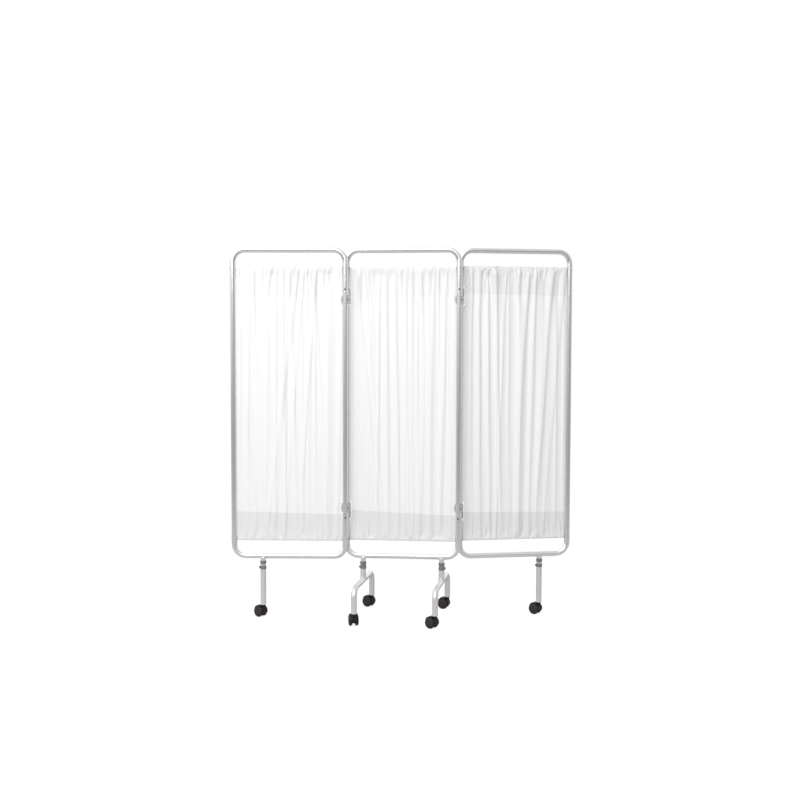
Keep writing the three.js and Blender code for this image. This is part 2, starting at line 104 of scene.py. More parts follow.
class Nodes:
    """Lays nodes in a tree and links them."""

    def __init__(self, tree: bpy.types.NodeTree) -> None:
        """Clears the tree that the nodes go into."""
        self.tree = tree
        tree.nodes.clear()

    def add(self, kind: str, inputs: dict[str | int, Any] | None = None, **settings: Any) -> bpy.types.Node:
        """Adds one node.

        Args:
            kind: The node's type name.
            inputs: A value or an output socket for each named or numbered input.
            settings: The node's own properties.

        Returns:
            The new node.
        """
        node = self.tree.nodes.new(kind)
        for name, value in settings.items():
            setattr(node, name, value)
        for key, value in (inputs or {}).items():
            if isinstance(value, bpy.types.NodeSocket):
                self.tree.links.new(value, node.inputs[key])
            else:
                node.inputs[key].default_value = value
        return node

    def math(self, operation: str, first: Any, second: Any) -> bpy.types.NodeSocket:
        """Adds one sum of two values and gives its result."""
        return self.add("ShaderNodeMath", {0: first, 1: second}, operation=operation).outputs[0]

    def mix(self, factor: Any, first: Any, second: Any, **settings: Any) -> bpy.types.NodeSocket:
        """Adds a mix of two colours and gives its result."""
        return self.add("ShaderNodeMix", {"Factor": factor, 6: first, 7: second}, data_type="RGBA",
                        **settings).outputs[2]


def fresh_material(name: str) -> tuple[bpy.types.Material, Nodes]:
    """Makes a material with an empty tree.

    Args:
        name: The material's name.

    Returns:
        The material and its nodes.
    """
    material = bpy.data.materials.new(name)
    material.use_nodes = True
    return material, Nodes(material.node_tree)


def show(name: str, data: bpy.types.ID) -> bpy.types.Object:
    """Puts a new object into the scene.

    Args:
        name: The object's name.
        data: Its mesh, lamp or camera.

    Returns:
        The new object.
    """
    shown = bpy.data.objects.new(name, data)
    bpy.context.scene.collection.objects.link(shown)
    return shown


@dataclass(frozen=True)
class Finish:
    """A procedural finish: a base colour with slow changes of tone, and a fine grain."""

    name: str
    colour: tuple[float, float, float]
    roughness: float
    surface: Surface
    metallic: float = 0.0
    coat: float = 0.0
    specular: float = 0.5
    tone: float = 0.05
    polish: float = 0.06
    depth: float = 0.00002

    def material(self) -> bpy.types.Material:
        """Gives the material, and makes it the first time.

        Returns:
            The material of this finish.
        """
        made = bpy.data.materials.get(self.name)
        if made:
            return made
        material, nodes = fresh_material(self.name)
        place = nodes.add("ShaderNodeTexCoord").outputs["Object"]
        slow = nodes.add("ShaderNodeTexNoise", {"Vector": place, "Scale": 9.0, "Detail": 3.0})
        darker = tuple(c * (1 - self.tone) for c in self.colour)
        lighter = tuple(min(1.0, c * (1 + self.tone)) for c in self.colour)
        tint = nodes.mix(slow.outputs["Fac"], (*darker, 1), (*lighter, 1))
        grain = self.grain(nodes, place)
        rough = nodes.add("ShaderNodeMapRange", {
            "Value": grain, "To Min": self.roughness - self.polish, "To Max": self.roughness + self.polish})
        bump = nodes.add("ShaderNodeBump", {"Strength": 0.5, "Distance": self.depth, "Height": grain})
        shader = nodes.add("ShaderNodeBsdfPrincipled", {
            "Base Color": tint, "Roughness": rough.outputs[0], "Metallic": self.metallic,
            "Coat Weight": self.coat, "Coat Roughness": 0.2, "Specular IOR Level": self.specular,
            "Normal": bump.outputs[0]})
        nodes.add("ShaderNodeOutputMaterial", {"Surface": shader.outputs[0]})
        return material

    def grain(self, nodes: Nodes, place: bpy.types.NodeSocket) -> bpy.types.NodeSocket:
        """Makes the fine grain.

        Args:
            nodes: The material's nodes.
            place: Where a point of the surface lies.

        Returns:
            A height from 0 to 1.
        """
        if self.surface is Surface.DRAWN:
            along = nodes.add("ShaderNodeMapping", {"Vector": place, "Scale": (1600.0, 1600.0, 26.0)})
            return nodes.add("ShaderNodeTexNoise", {
                "Vector": along.outputs[0], "Scale": 1.0, "Detail": 4.0}).outputs["Fac"]
        if self.surface is Surface.CAST:
            return nodes.add("ShaderNodeTexNoise", {
                "Vector": place, "Scale": 900.0, "Detail": 5.0}).outputs["Fac"]
        return nodes.add("ShaderNodeTexVoronoi", {
            "Vector": place, "Scale": 1400.0}).outputs["Distance"]


# Finishes
FRAME_TUBE = Finish("satin_frame_tube", (0.795, 0.783, 0.768), 0.22, Surface.DRAWN, metallic=0.96,
                    tone=0.03, polish=0.02, depth=0.000001)
LEG_TUBE = Finish("satin_leg_tube", (0.73, 0.728, 0.722), 0.32, Surface.DRAWN, metallic=0.84)
CLIP_METAL = Finish("cast_clip", (0.52, 0.515, 0.505), 0.5, Surface.CAST, metallic=0.6)
COLLAR_PLASTIC = Finish("grey_collar", (0.185, 0.182, 0.181), 0.48, Surface.MOULDED)
STEEL = Finish("plain_steel", (0.42, 0.43, 0.44), 0.28, Surface.DRAWN, metallic=0.95)
SCREW_STEEL = Finish("dark_screw", (0.028, 0.027, 0.026), 0.5, Surface.CAST, metallic=0.2)
CASTER_PLASTIC = Finish("charcoal_body", (0.009, 0.0068, 0.0075), 0.4, Surface.MOULDED, specular=0.25)
WHEEL_PLASTIC = Finish("charcoal_wheel", (0.029, 0.0215, 0.024), 0.42, Surface.MOULDED, specular=0.3)
THREAD = Finish("white_thread", (0.8, 0.8, 0.79), 0.7, Surface.CAST)


@dataclass(frozen=True)
class ClothFinish:
    """Thin white cloth: a plain weave on the piece's UV map, and a duller colour where it lies double, which
    is painted shade for the light that two layers let through less.
    """

    name: str = "white_curtain"
    colour: tuple[float, float, float] = (0.89, 0.89, 0.892)
    # Painted shade: the duller colour of the hems, where less light comes through the doubled cloth.
    hem_shade: tuple[float, float, float] = (0.788, 0.787, 0.787)
    roughness: float = 0.42
    sheen: float = 0.12
    threads: float = 1500.0
    depth: float = 0.00006

    def material(self) -> bpy.types.Material:
        """Gives the material, and makes it the first time.

        Returns:
            The cloth's material.
        """
        made = bpy.data.materials.get(self.name)
        if made:
            return made
        material, nodes = fresh_material(self.name)
        # Painted shade: the cloth turns towards the duller hem colour by the share stored on the mesh.
        hem_shade_mask = nodes.add("ShaderNodeAttribute", attribute_name="hem_shade").outputs["Fac"]
        plain = nodes.mix(hem_shade_mask, (*self.colour, 1), (*self.hem_shade, 1))
        flat = nodes.add("ShaderNodeUVMap", uv_map="cloth").outputs[0]
        stretched = nodes.add("ShaderNodeMapping", {"Vector": flat, "Scale": (300.0, 22.0, 1.0)})
        slub = nodes.add("ShaderNodeTexNoise", {
            "Vector": stretched.outputs[0], "Scale": 1.0, "Detail": 4.0})
        tint = nodes.mix(0.06, plain, slub.outputs["Color"], blend_type="SOFT_LIGHT")
        heights = []
        for direction in ("X", "Y"):
            heights.append(nodes.add("ShaderNodeTexWave", {
                "Vector": flat, "Scale": self.threads / math.tau}, bands_direction=direction).outputs["Fac"])
        weave = nodes.math("MULTIPLY", *heights)
        bump = nodes.add("ShaderNodeBump", {"Strength": 0.35, "Distance": self.depth, "Height": weave})
        shader = nodes.add("ShaderNodeBsdfPrincipled", {
            "Base Color": tint, "Roughness": self.roughness, "Sheen Weight": self.sheen,
            "Normal": bump.outputs[0]})
        nodes.add("ShaderNodeOutputMaterial", {"Surface": shader.outputs[0]})
        return material


CLOTH = ClothFinish()


class Shell:
    """Collects closed shells into one mesh and makes a piece of it."""

    def __init__(self) -> None:
        """Starts with nothing."""
        self.mesh = bmesh.new()

    def grid(self, rows: Sequence[Sequence[Vector]], capped: bool = True, looped: bool = False) -> None:
        """Adds a closed skin through rings of points and turns its faces outwards.

        Args:
            rows: Rings with the same count of points. A ring of one point is a pole.
            capped: Whether the first and last rings are closed with a face.
            looped: Whether the last ring joins the first.
        """
        rings = [[self.mesh.verts.new(point) for point in row] for row in rows]
        faces = []
        for low, high in zip(rings, [*rings[1:], rings[0]] if looped else rings[1:]):
            count = max(len(low), len(high))
            for i in range(count):
                j = (i + 1) % count
                corners = [low[i % len(low)], low[j % len(low)], high[j % len(high)], high[i % len(high)]]
                faces.append(self.mesh.faces.new(list(dict.fromkeys(corners))))
        if capped:
            for ring in (rings[0], rings[-1]):
                if len(ring) > 2:
                    faces.append(self.mesh.faces.new(ring))
        bmesh.ops.recalc_face_normals(self.mesh, faces=faces)

    def turned(self, profile: Sequence[Point], sides: int, place: Matrix = Matrix()) -> None:
        """Adds a body of revolution about its own Z.

        Args:
            profile: Points of radius and height, from the axis back to the axis or to the first point.
            sides: The number of steps round the axis.
            place: Where the body stands.
        """
        rows = []
        for radius, height in profile:
            steps = range(sides if radius > ON_AXIS else 1)
            rows.append([place @ Vector((radius * math.cos(math.tau * k / sides),
                                         radius * math.sin(math.tau * k / sides), height)) for k in steps])
        looped = profile[0][0] > ON_AXIS and profile[0] == profile[-1]
        self.grid(rows[:-1] if looped else rows, capped=False, looped=looped)

    def prism(self, outline: Sequence[Point], low: float, high: float, place: Matrix = Matrix()) -> None:
        """Adds an outline drawn out along its own Z from one height to another."""
        self.grid([[place @ Vector((x, y, z)) for x, y in outline] for z in (low, high)])

    def take(self, mesh: bpy.types.Mesh, place: Matrix = Matrix()) -> None:
        """Adds a finished mesh and removes it.

        Args:
            mesh: The mesh to add.
            place: Where it goes.
        """
        mesh.transform(place)
        self.mesh.from_mesh(mesh)
        bpy.data.meshes.remove(mesh)

    def piece(self, name: str, finish: Finish, place: Matrix = Matrix(), round_off: float = 0.0,
              crease: float = 32.0) -> bpy.types.Object:
        """Makes a piece with its place in its mesh.

        Args:
            name: The piece's name.
            finish: Its finish.
            place: Where the collected shells go.
            round_off: The width of the rounding along edges, or 0 for none.
            crease: The angle in degrees past which an edge shows sharp.

        Returns:
            The new object.
        """
        mesh = bpy.data.meshes.new(name)
        self.mesh.to_mesh(mesh)
        self.mesh.free()
        mesh.transform(place)
        mesh.materials.append(finish.material())
        for polygon in mesh.polygons:
            polygon.material_index = 0
        mesh.shade_smooth()
        mesh.set_sharp_from_angle(angle=math.radians(crease))
        piece = show(name, mesh)
        if round_off:
            bevel = piece.modifiers.new("rounded_edges", "BEVEL")
            bevel.width = round_off
            bevel.segments = 2
            bevel.limit_method = "ANGLE"
            bevel.angle_limit = math.radians(crease)
            bevel.harden_normals = True
        return piece


# Small helpers
def settle(piece: bpy.types.Object, body: str, nodes: Sequence[str] = ()) -> None:
    """Lets a piece ride on its body and stand for its nodes.

    Args:
        piece: The finished piece.
        body: The body that it moves with.
        nodes: The nodes that it stands for.
    """
    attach(piece, body)
    if nodes:
        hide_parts(*nodes)
    LOG.info("%s rides on %s", piece.name, body)


def rounded(corners: Sequence[tuple[float, float, float]], steps: int = 3) -> list[Point]:
    """Rounds the corners of an open profile.

    Args:
        corners: Points of radius, height and the rounding there.
        steps: The number of steps in each rounding.

    Returns:
        The points of the rounded profile.
    """
    points: list[Point] = []
    for i, (x, y, bend) in enumerate(corners):
        if not bend or i in (0, len(corners) - 1):
            points.append((x, y))
            continue
        here = Vector((x, y))
        before = (Vector(corners[i - 1][:2]) - here).normalized() * bend + here
        after = (Vector(corners[i + 1][:2]) - here).normalized() * bend + here
        for k in range(steps + 1):
            t = k / steps
            spot = before * (1 - t) ** 2 + here * 2 * t * (1 - t) + after * t ** 2
            points.append((spot.x, spot.y))
    return points


def standing(x: float, y: float, angle: float) -> Matrix:
    """Gives the place of something upright, turned about Z by an angle in radians."""
    return Matrix.Translation((x, y, 0)) @ Matrix.Rotation(angle, 4, "Z")


class GrowingTree:
    """A tree of geometry nodes with named inputs, which is run once and leaves a plain mesh."""

    def __init__(self, name: str, inputs: dict[str, tuple[str, Any]]) -> None:
        """Starts the tree.

        Args:
            name: The tree's name.
            inputs: The socket type and first value of each named input.
        """
        self.group = bpy.data.node_groups.new(name, "GeometryNodeTree")
        self.nodes = Nodes(self.group)
        sockets = self.group.interface
        sockets.new_socket("Geometry", in_out="INPUT", socket_type="NodeSocketGeometry")
        self.names: dict[str, str] = {}
        for label, (kind, value) in inputs.items():
            socket = sockets.new_socket(label, in_out="INPUT", socket_type=kind)
            if value is not None:
                socket.default_value = value
            self.names[label] = socket.identifier
        sockets.new_socket("Geometry", in_out="OUTPUT", socket_type="NodeSocketGeometry")
        self.given = self.nodes.add("NodeGroupInput").outputs

    def end(self, geometry: bpy.types.NodeSocket) -> None:
        """Ends the tree with Realize Instances and Set Material.

        Args:
            geometry: What the tree has made.
        """
        real = self.nodes.add("GeometryNodeRealizeInstances", {"Geometry": geometry})
        dressed = self.nodes.add("GeometryNodeSetMaterial", {
            "Geometry": real.outputs[0], "Material": self.given["Finish"]})
        self.nodes.add("NodeGroupOutput", {"Geometry": dressed.outputs[0]})

    def grow(self, carrier: bpy.types.Mesh, values: dict[str, Any]) -> bpy.types.Mesh:
        """Runs the tree on a mesh.

        Args:
            carrier: The mesh that the tree starts from. It is removed.
            values: The values of the named inputs.

        Returns:
            The plain mesh that the tree makes.
        """
        carrier_object = show(carrier.name, carrier)
        modifier = carrier_object.modifiers.new("growth", "NODES")
        modifier.node_group = self.group
        for label, value in values.items():
            modifier[self.names[label]] = value
        graph = bpy.context.evaluated_depsgraph_get()
        made = bpy.data.meshes.new_from_object(carrier_object.evaluated_get(graph), depsgraph=graph)
        carrier_object.modifiers.clear()
        bpy.data.objects.remove(carrier_object)
        bpy.data.meshes.remove(carrier)
        return made


def path_mesh(name: str, points: Sequence[Sequence[float]], closed: bool) -> bpy.types.Mesh:
    """Makes a mesh of one line of edges.

    Args:
        name: The mesh's name.
        points: The points of the line.
        closed: Whether the last point joins the first.

    Returns:
        The new mesh.
    """
    mesh = bpy.data.meshes.new(name)
    count = len(points)
    edges = [(i, (i + 1) % count) for i in range(count if closed else count - 1)]
    mesh.from_pydata([tuple(p) for p in points], edges, [])
    return mesh


class BentTube(GrowingTree):
    """Tube that follows a line and is bent to one radius at its corners."""

    def __init__(self) -> None:
        """Builds the tree."""
        super().__init__("bent_tube", {
            "Tube Diameter": ("NodeSocketFloat", 0.025),
            "Bend Radius": ("NodeSocketFloat", 0.05),
            "Bend Steps": ("NodeSocketInt", 12),
            "Sides": ("NodeSocketInt", 32),
            "Finish": ("NodeSocketMaterial", None)})
        nodes, given = self.nodes, self.given
        line = nodes.add("GeometryNodeMeshToCurve", {"Mesh": given["Geometry"]})
        bends = nodes.add("GeometryNodeFilletCurve", {
            "Curve": line.outputs[0], "Count": given["Bend Steps"], "Radius": given["Bend Radius"],
            "Limit Radius": True}, mode="POLY")
        radius = nodes.math("MULTIPLY", given["Tube Diameter"], 0.5)
        section = nodes.add("GeometryNodeCurvePrimitiveCircle", {
            "Resolution": given["Sides"], "Radius": radius})
        tube = nodes.add("GeometryNodeCurveToMesh", {
            "Curve": bends.outputs[0], "Profile Curve": section.outputs[0], "Fill Caps": True})
        self.end(tube.outputs[0])


class ScrewSet(GrowingTree):
    """Pan-head screws with a cross recess, one at each point, facing along the point's own direction."""

    RECESS_SHARE = (0.62, 0.62, 1.0)

    def __init__(self) -> None:
        """Builds the tree."""
        super().__init__("screw_set", {
            "Head Diameter": ("NodeSocketFloat", 0.006),
            "Head Height": ("NodeSocketFloat", 0.0022),
            "Recess Width": ("NodeSocketFloat", 0.0009),
            "Seed": ("NodeSocketInt", 7),
            "Finish": ("NodeSocketMaterial", None)})
        nodes, given = self.nodes, self.given
        radius = nodes.math("MULTIPLY", given["Head Diameter"], 0.5)
        ball = nodes.add("GeometryNodeMeshUVSphere", {"Segments": 20, "Rings": 12, "Radius": 1.0})
        size = nodes.add("ShaderNodeCombineXYZ", {0: radius, 1: radius, 2: given["Head Height"]})
        head = nodes.add("GeometryNodeTransform", {"Geometry": ball.outputs[0], "Scale": size.outputs[0]})
        recess = []
        for across in (0, 1):
            lengths = {across: given["Head Diameter"], 1 - across: given["Recess Width"],
                       2: given["Head Height"]}
            span = nodes.add("ShaderNodeCombineXYZ", lengths)
            half = nodes.add("ShaderNodeVectorMath", {0: span.outputs[0], 1: self.RECESS_SHARE},
                             operation="MULTIPLY")
            lift = nodes.add("ShaderNodeCombineXYZ", {2: given["Head Height"]})
            slot = nodes.add("GeometryNodeMeshCube", {"Size": half.outputs[0]})
            recess.append(nodes.add("GeometryNodeTransform", {
                "Geometry": slot.outputs[0], "Translation": lift.outputs[0]}).outputs[0])
        screw = nodes.add("GeometryNodeMeshBoolean", {
            "Mesh 1": head.outputs[0], "Mesh 2": recess[0]}, operation="DIFFERENCE")
        screw = nodes.add("GeometryNodeMeshBoolean", {
            "Mesh 1": screw.outputs[0], "Mesh 2": recess[1]}, operation="DIFFERENCE")
        points = nodes.add("GeometryNodeMeshToPoints", {"Mesh": given["Geometry"]})
        facing = nodes.add("GeometryNodeInputNamedAttribute", {"Name": "facing"}, data_type="FLOAT_VECTOR")
        aim = nodes.add("FunctionNodeAlignRotationToVector", {"Vector": facing.outputs[0]}, axis="Z")
        spin = nodes.add("FunctionNodeRandomValue", {"Seed": given["Seed"], 2: 0.0, 3: math.pi / 2})
        turn = nodes.add("ShaderNodeCombineXYZ", {2: spin.outputs[1]})
        aimed = nodes.add("FunctionNodeRotateRotation", {
            "Rotation": aim.outputs[0], "Rotate By": turn.outputs[0]}, rotation_space="LOCAL")
        placed = nodes.add("GeometryNodeInstanceOnPoints", {
            "Points": points.outputs[0], "Instance": screw.outputs[0], "Rotation": aimed.outputs[0]})
        self.end(placed.outputs[0])

    def piece(self, name: str, places: Sequence[Vector], facing: Sequence[Vector], diameter: float,
              height: float) -> bpy.types.Object:
        """Makes one piece of screws.

        Args:
            name: The piece's name.
            places: Where each screw sits.
            facing: The direction that each head faces.
            diameter: The diameter of a head.
            height: The height of a head.

        Returns:
            The new object.
        """
        carrier = path_mesh(name, places, closed=False)
        values = carrier.attributes.new("facing", "FLOAT_VECTOR", "POINT")
        for item, way in zip(values.data, facing):
            item.vector = way
        shell = Shell()
        shell.take(self.grow(carrier, {
            "Head Diameter": diameter, "Head Height": height, "Finish": SCREW_STEEL.material()}))
        return shell.piece(name, SCREW_STEEL)


class StitchRow(GrowingTree):
    """Sewing stitches at an even pitch along lines."""

    def __init__(self) -> None:
        """Builds the tree."""
        super().__init__("stitch_row", {
            "Pitch": ("NodeSocketFloat", 0.003),
            "Stitch Length": ("NodeSocketFloat", 0.0022),
            "Thread Diameter": ("NodeSocketFloat", 0.0004),
            "Finish": ("NodeSocketMaterial", None)})
        nodes, given = self.nodes, self.given
        line = nodes.add("GeometryNodeMeshToCurve", {"Mesh": given["Geometry"]})
        spots = nodes.add("GeometryNodeCurveToPoints", {
            "Curve": line.outputs[0], "Length": given["Pitch"]}, mode="LENGTH")
        ball = nodes.add("GeometryNodeMeshUVSphere", {"Segments": 6, "Rings": 4, "Radius": 0.5})
        size = nodes.add("ShaderNodeCombineXYZ", {
            0: given["Thread Diameter"], 1: given["Thread Diameter"], 2: given["Stitch Length"]})
        stitch = nodes.add("GeometryNodeTransform", {"Geometry": ball.outputs[0], "Scale": size.outputs[0]})
        aim = nodes.add("FunctionNodeAlignRotationToVector", {"Vector": spots.outputs["Tangent"]}, axis="Z")
        placed = nodes.add("GeometryNodeInstanceOnPoints", {
            "Points": spots.outputs["Points"], "Instance": stitch.outputs[0], "Rotation": aim.outputs[0]})
        self.end(placed.outputs[0])


@dataclass(frozen=True)
class Workshop:
    """The trees that the sub-assemblies share."""

    tube: BentTube = field(default_factory=BentTube)
    screws: ScrewSet = field(default_factory=ScrewSet)
    stitches: StitchRow = field(default_factory=StitchRow)


@dataclass
class Layout:
    """Where the sub-assemblies stand, read from the joints."""

    places: dict[str, Vector]

    @classmethod
    def read(cls, joints: Sequence[dict[str, Any]]) -> "Layout":
        """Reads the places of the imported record's joints."""
        return cls({j["name"]: Vector(j["pos_m"]) for j in joints if "pos_m" in j})

    @property
    def stile_span(self) -> float:
        """Gives the distance between the two stiles of a panel."""
        return (self.places["right_link_turn"] - self.places["left_link_turn"]).length

    def panel(self, side: Side) -> Matrix:
        """Gives a panel's place: the floor under its middle, with X to the right along it.

        Args:
            side: Which panel.

        Returns:
            The matrix of the place.
        """
        if side is Side.CENTRE:
            middle = (self.places["left_link_turn"] + self.places["right_link_turn"]) / 2
            return standing(middle.x, middle.y, 0.0)
        hinge = self.places[f"{side.value}_panel_turn"]
        out = self.places[f"{side.value}_leg_caster_swivel"] - hinge
        out.z = 0
        out.normalize()
        middle = hinge + out * self.stile_span / 2
        along = out if side is Side.RIGHT else -out
        return standing(middle.x, middle.y, math.atan2(along.y, along.x))

    def link(self, side: Side) -> Matrix:
        """Gives a link's place: its rear stile on the floor, with X towards the front stile.

        Args:
            side: Which seam.

        Returns:
            The matrix of the place.
        """
        own = self.places[f"{side.value}_panel_turn"]
        centre = self.places[f"{side.value}_link_turn"]
        rear, front = (centre, own) if side is Side.LEFT else (own, centre)
        way = front - rear
        return standing(rear.x, rear.y, math.atan2(way.y, way.x))

    def caster(self, name: str) -> Matrix:
        """Gives a caster's place: its swivel axis on the floor, with the axle towards -X.

        Args:
            name: The name of the leg that it stands under.

        Returns:
            The matrix of the place.
        """
        pin = self.places[f"{name}_caster_swivel"]
        way = pin - self.axle(name)
        return standing(pin.x, pin.y, math.atan2(way.y, way.x))

    def axle(self, name: str) -> Vector:
        """Gives the middle of the axle of the caster under the named leg."""
        return (self.places[f"{name}_wheel_a_spin"] + self.places[f"{name}_wheel_b_spin"]) / 2

    def foot(self, side: Side) -> Matrix:
        """Gives a foot's place: its stem's axis on the floor, with Y towards its rear leg.

        Args:
            side: Which foot.

        Returns:
            The matrix of the place.
        """
        stem = self.places[f"{side.value}_foot_turn"]
        way = self.places[f"{side.value}_foot_rear_caster_swivel"] - stem
        return standing(stem.x, stem.y, math.atan2(-way.x, way.y))


@dataclass
class TubeFrame:
    """A welded frame: a closed loop of tube and the stubs under its bottom rail."""

    side: Side
    height: float = 1.65
    clearance: float = 0.265
    tube: float = TUBE
    corner: float = 0.052
    stub: float = STUB
    stub_bore: float = 0.0186
    stub_end: float = 0.182
    bead: float = 0.0028
    bead_root: float = 0.0042
    rod_screw: Point = (0.0068, 0.0019)
    screw_sunk: float = 0.0003

    def build(self, layout: Layout, shop: Workshop) -> None:
        """Builds the frame.

        Args:
            layout: Where it stands.
            shop: The shared trees.
        """
        place = layout.panel(self.side)
        x = layout.stile_span / 2
        low, high = self.clearance + self.tube / 2, self.height - self.tube / 2
        corners = [(-x, 0, low), (x, 0, low), (x, 0, high), (-x, 0, high)]
        shell = Shell()
        shell.take(shop.tube.grow(path_mesh("frame_line", corners, closed=True), {
            "Tube Diameter": self.tube, "Bend Radius": self.corner, "Finish": FRAME_TUBE.material()}))
        for stub in self.stub_places(layout, place):
            self.add_stub(shell, stub, low)
        piece = shell.piece(f"{self.side.value}_tube_frame", FRAME_TUBE, place)
        body = "centre" if self.side is Side.CENTRE else f"{self.side.value}_panel"
        settle(piece, body, [f"{self.side.value}_frame"])
        self.screw_rods(layout, shop, place, body)

    def stub_places(self, layout: Layout, place: Matrix) -> list[float]:
        """Finds the stubs along the bottom rail.

        Args:
            layout: Where the legs stand.
            place: The panel's place.

        Returns:
            Their places along the panel's X.
        """
        names = ["left_foot_turn", "right_foot_turn"]
        if self.side is not Side.CENTRE:
            names = [f"{self.side.value}_leg_caster_swivel"]
        inverse = place.inverted()
        return [(inverse @ layout.places[name]).x for name in names]

    def add_stub(self, shell: Shell, x: float, rail: float) -> None:
        """Adds one stub with its weld bead.

        Args:
            shell: The frame's shell.
            x: The stub's place along the rail.
            rail: The height of the rail's axis.
        """
        place = Matrix.Translation((x, 0, 0))
        outer, inner = self.stub / 2, self.stub_bore / 2
        tip = 0.0006
        shell.turned([
            (outer, rail), (outer, self.stub_end + tip), (outer - tip, self.stub_end),
            (inner + tip / 2, self.stub_end), (inner, self.stub_end + tip), (inner, rail),
            (outer, rail)], 32, place)
        weld_bead(shell, outer, self.clearance + self.bead_root, [
            (-0.001, -0.009), (0.0004, -0.008), (self.bead * 0.5, -0.0055), (self.bead, -0.001),
            (self.bead, 0.002), (-0.001, 0.002), (-0.001, -0.009)], 32, place)

    def screw_rods(self, layout: Layout, shop: Workshop, place: Matrix, body: str) -> None:
        """Adds the screws that hold the curtain rods through the stiles.

        Args:
            layout: Where the panel stands.
            shop: The shared trees.
            place: The panel's place.
            body: The body that the frame moves with.
        """
        spots, ways = [], []
        for height in (TOP_ROD, BOTTOM_ROD):
            for end in (-1, 1):
                side = end * (layout.stile_span / 2 + self.tube / 2 - self.screw_sunk)
                spots.append(place @ Vector((side, 0, height)))
                ways.append(place.to_3x3() @ Vector((end, 0, 0)))
        piece = shop.screws.piece(f"{self.side.value}_rod_screws", spots, ways, *self.rod_screw)
        settle(piece, body)


@dataclass(frozen=True)
class Pleat:
    """One larger pleat of a curtain: a ridge with a steep right flank, which may fade out on its way."""

    top: float
    bottom: float
    depth: float
    width: float = 0.006
    low: float = 0.2
    high: float = 1.7
    sway: float = 0.0
    foot: float = 0.48
    rise: float = 0.95
    steep: float = 0.7
    gentle: float = 1.7
    fade_in: float = 0.25
    fade_out: float = 0.2
    pinch_top: tuple[float, float, float] = (1.36, 0.14, 1.1)
    pinch_foot: tuple[float, float, float] = (0.5, 0.1, 0.5)

    def offset(self, column: np.ndarray, height: np.ndarray, width: float) -> np.ndarray:
        """Gives how far the pleat stands out towards the front.

        Args:
            column: The share of the width.
            height: The place up the curtain.
            width: The curtain's width.

        Returns:
            The offset at each point.
        """
        climb = (height - self.foot) / self.rise
        line = self.bottom + (self.top - self.bottom) * climb + self.sway * np.sin(math.pi * climb)
        across = (column - line) * width
        flank = np.where(across > 0, self.steep * self.width, self.gentle * self.width)
        fade = np.clip((height - self.low) / self.fade_in, 0, 1)
        fade = fade * np.clip((self.high - height) / self.fade_out, 0, 1)
        level, span, top_gain = self.pinch_top
        near_top = np.clip((height - level) / span, 0, 1)
        level, span, foot_gain = self.pinch_foot
        near_foot = np.clip((level - height) / span, 0, 1)
        tight = 1 + top_gain * near_top + foot_gain * near_foot
        return self.depth * fade * tight * np.exp(-(across / flank) ** 2)


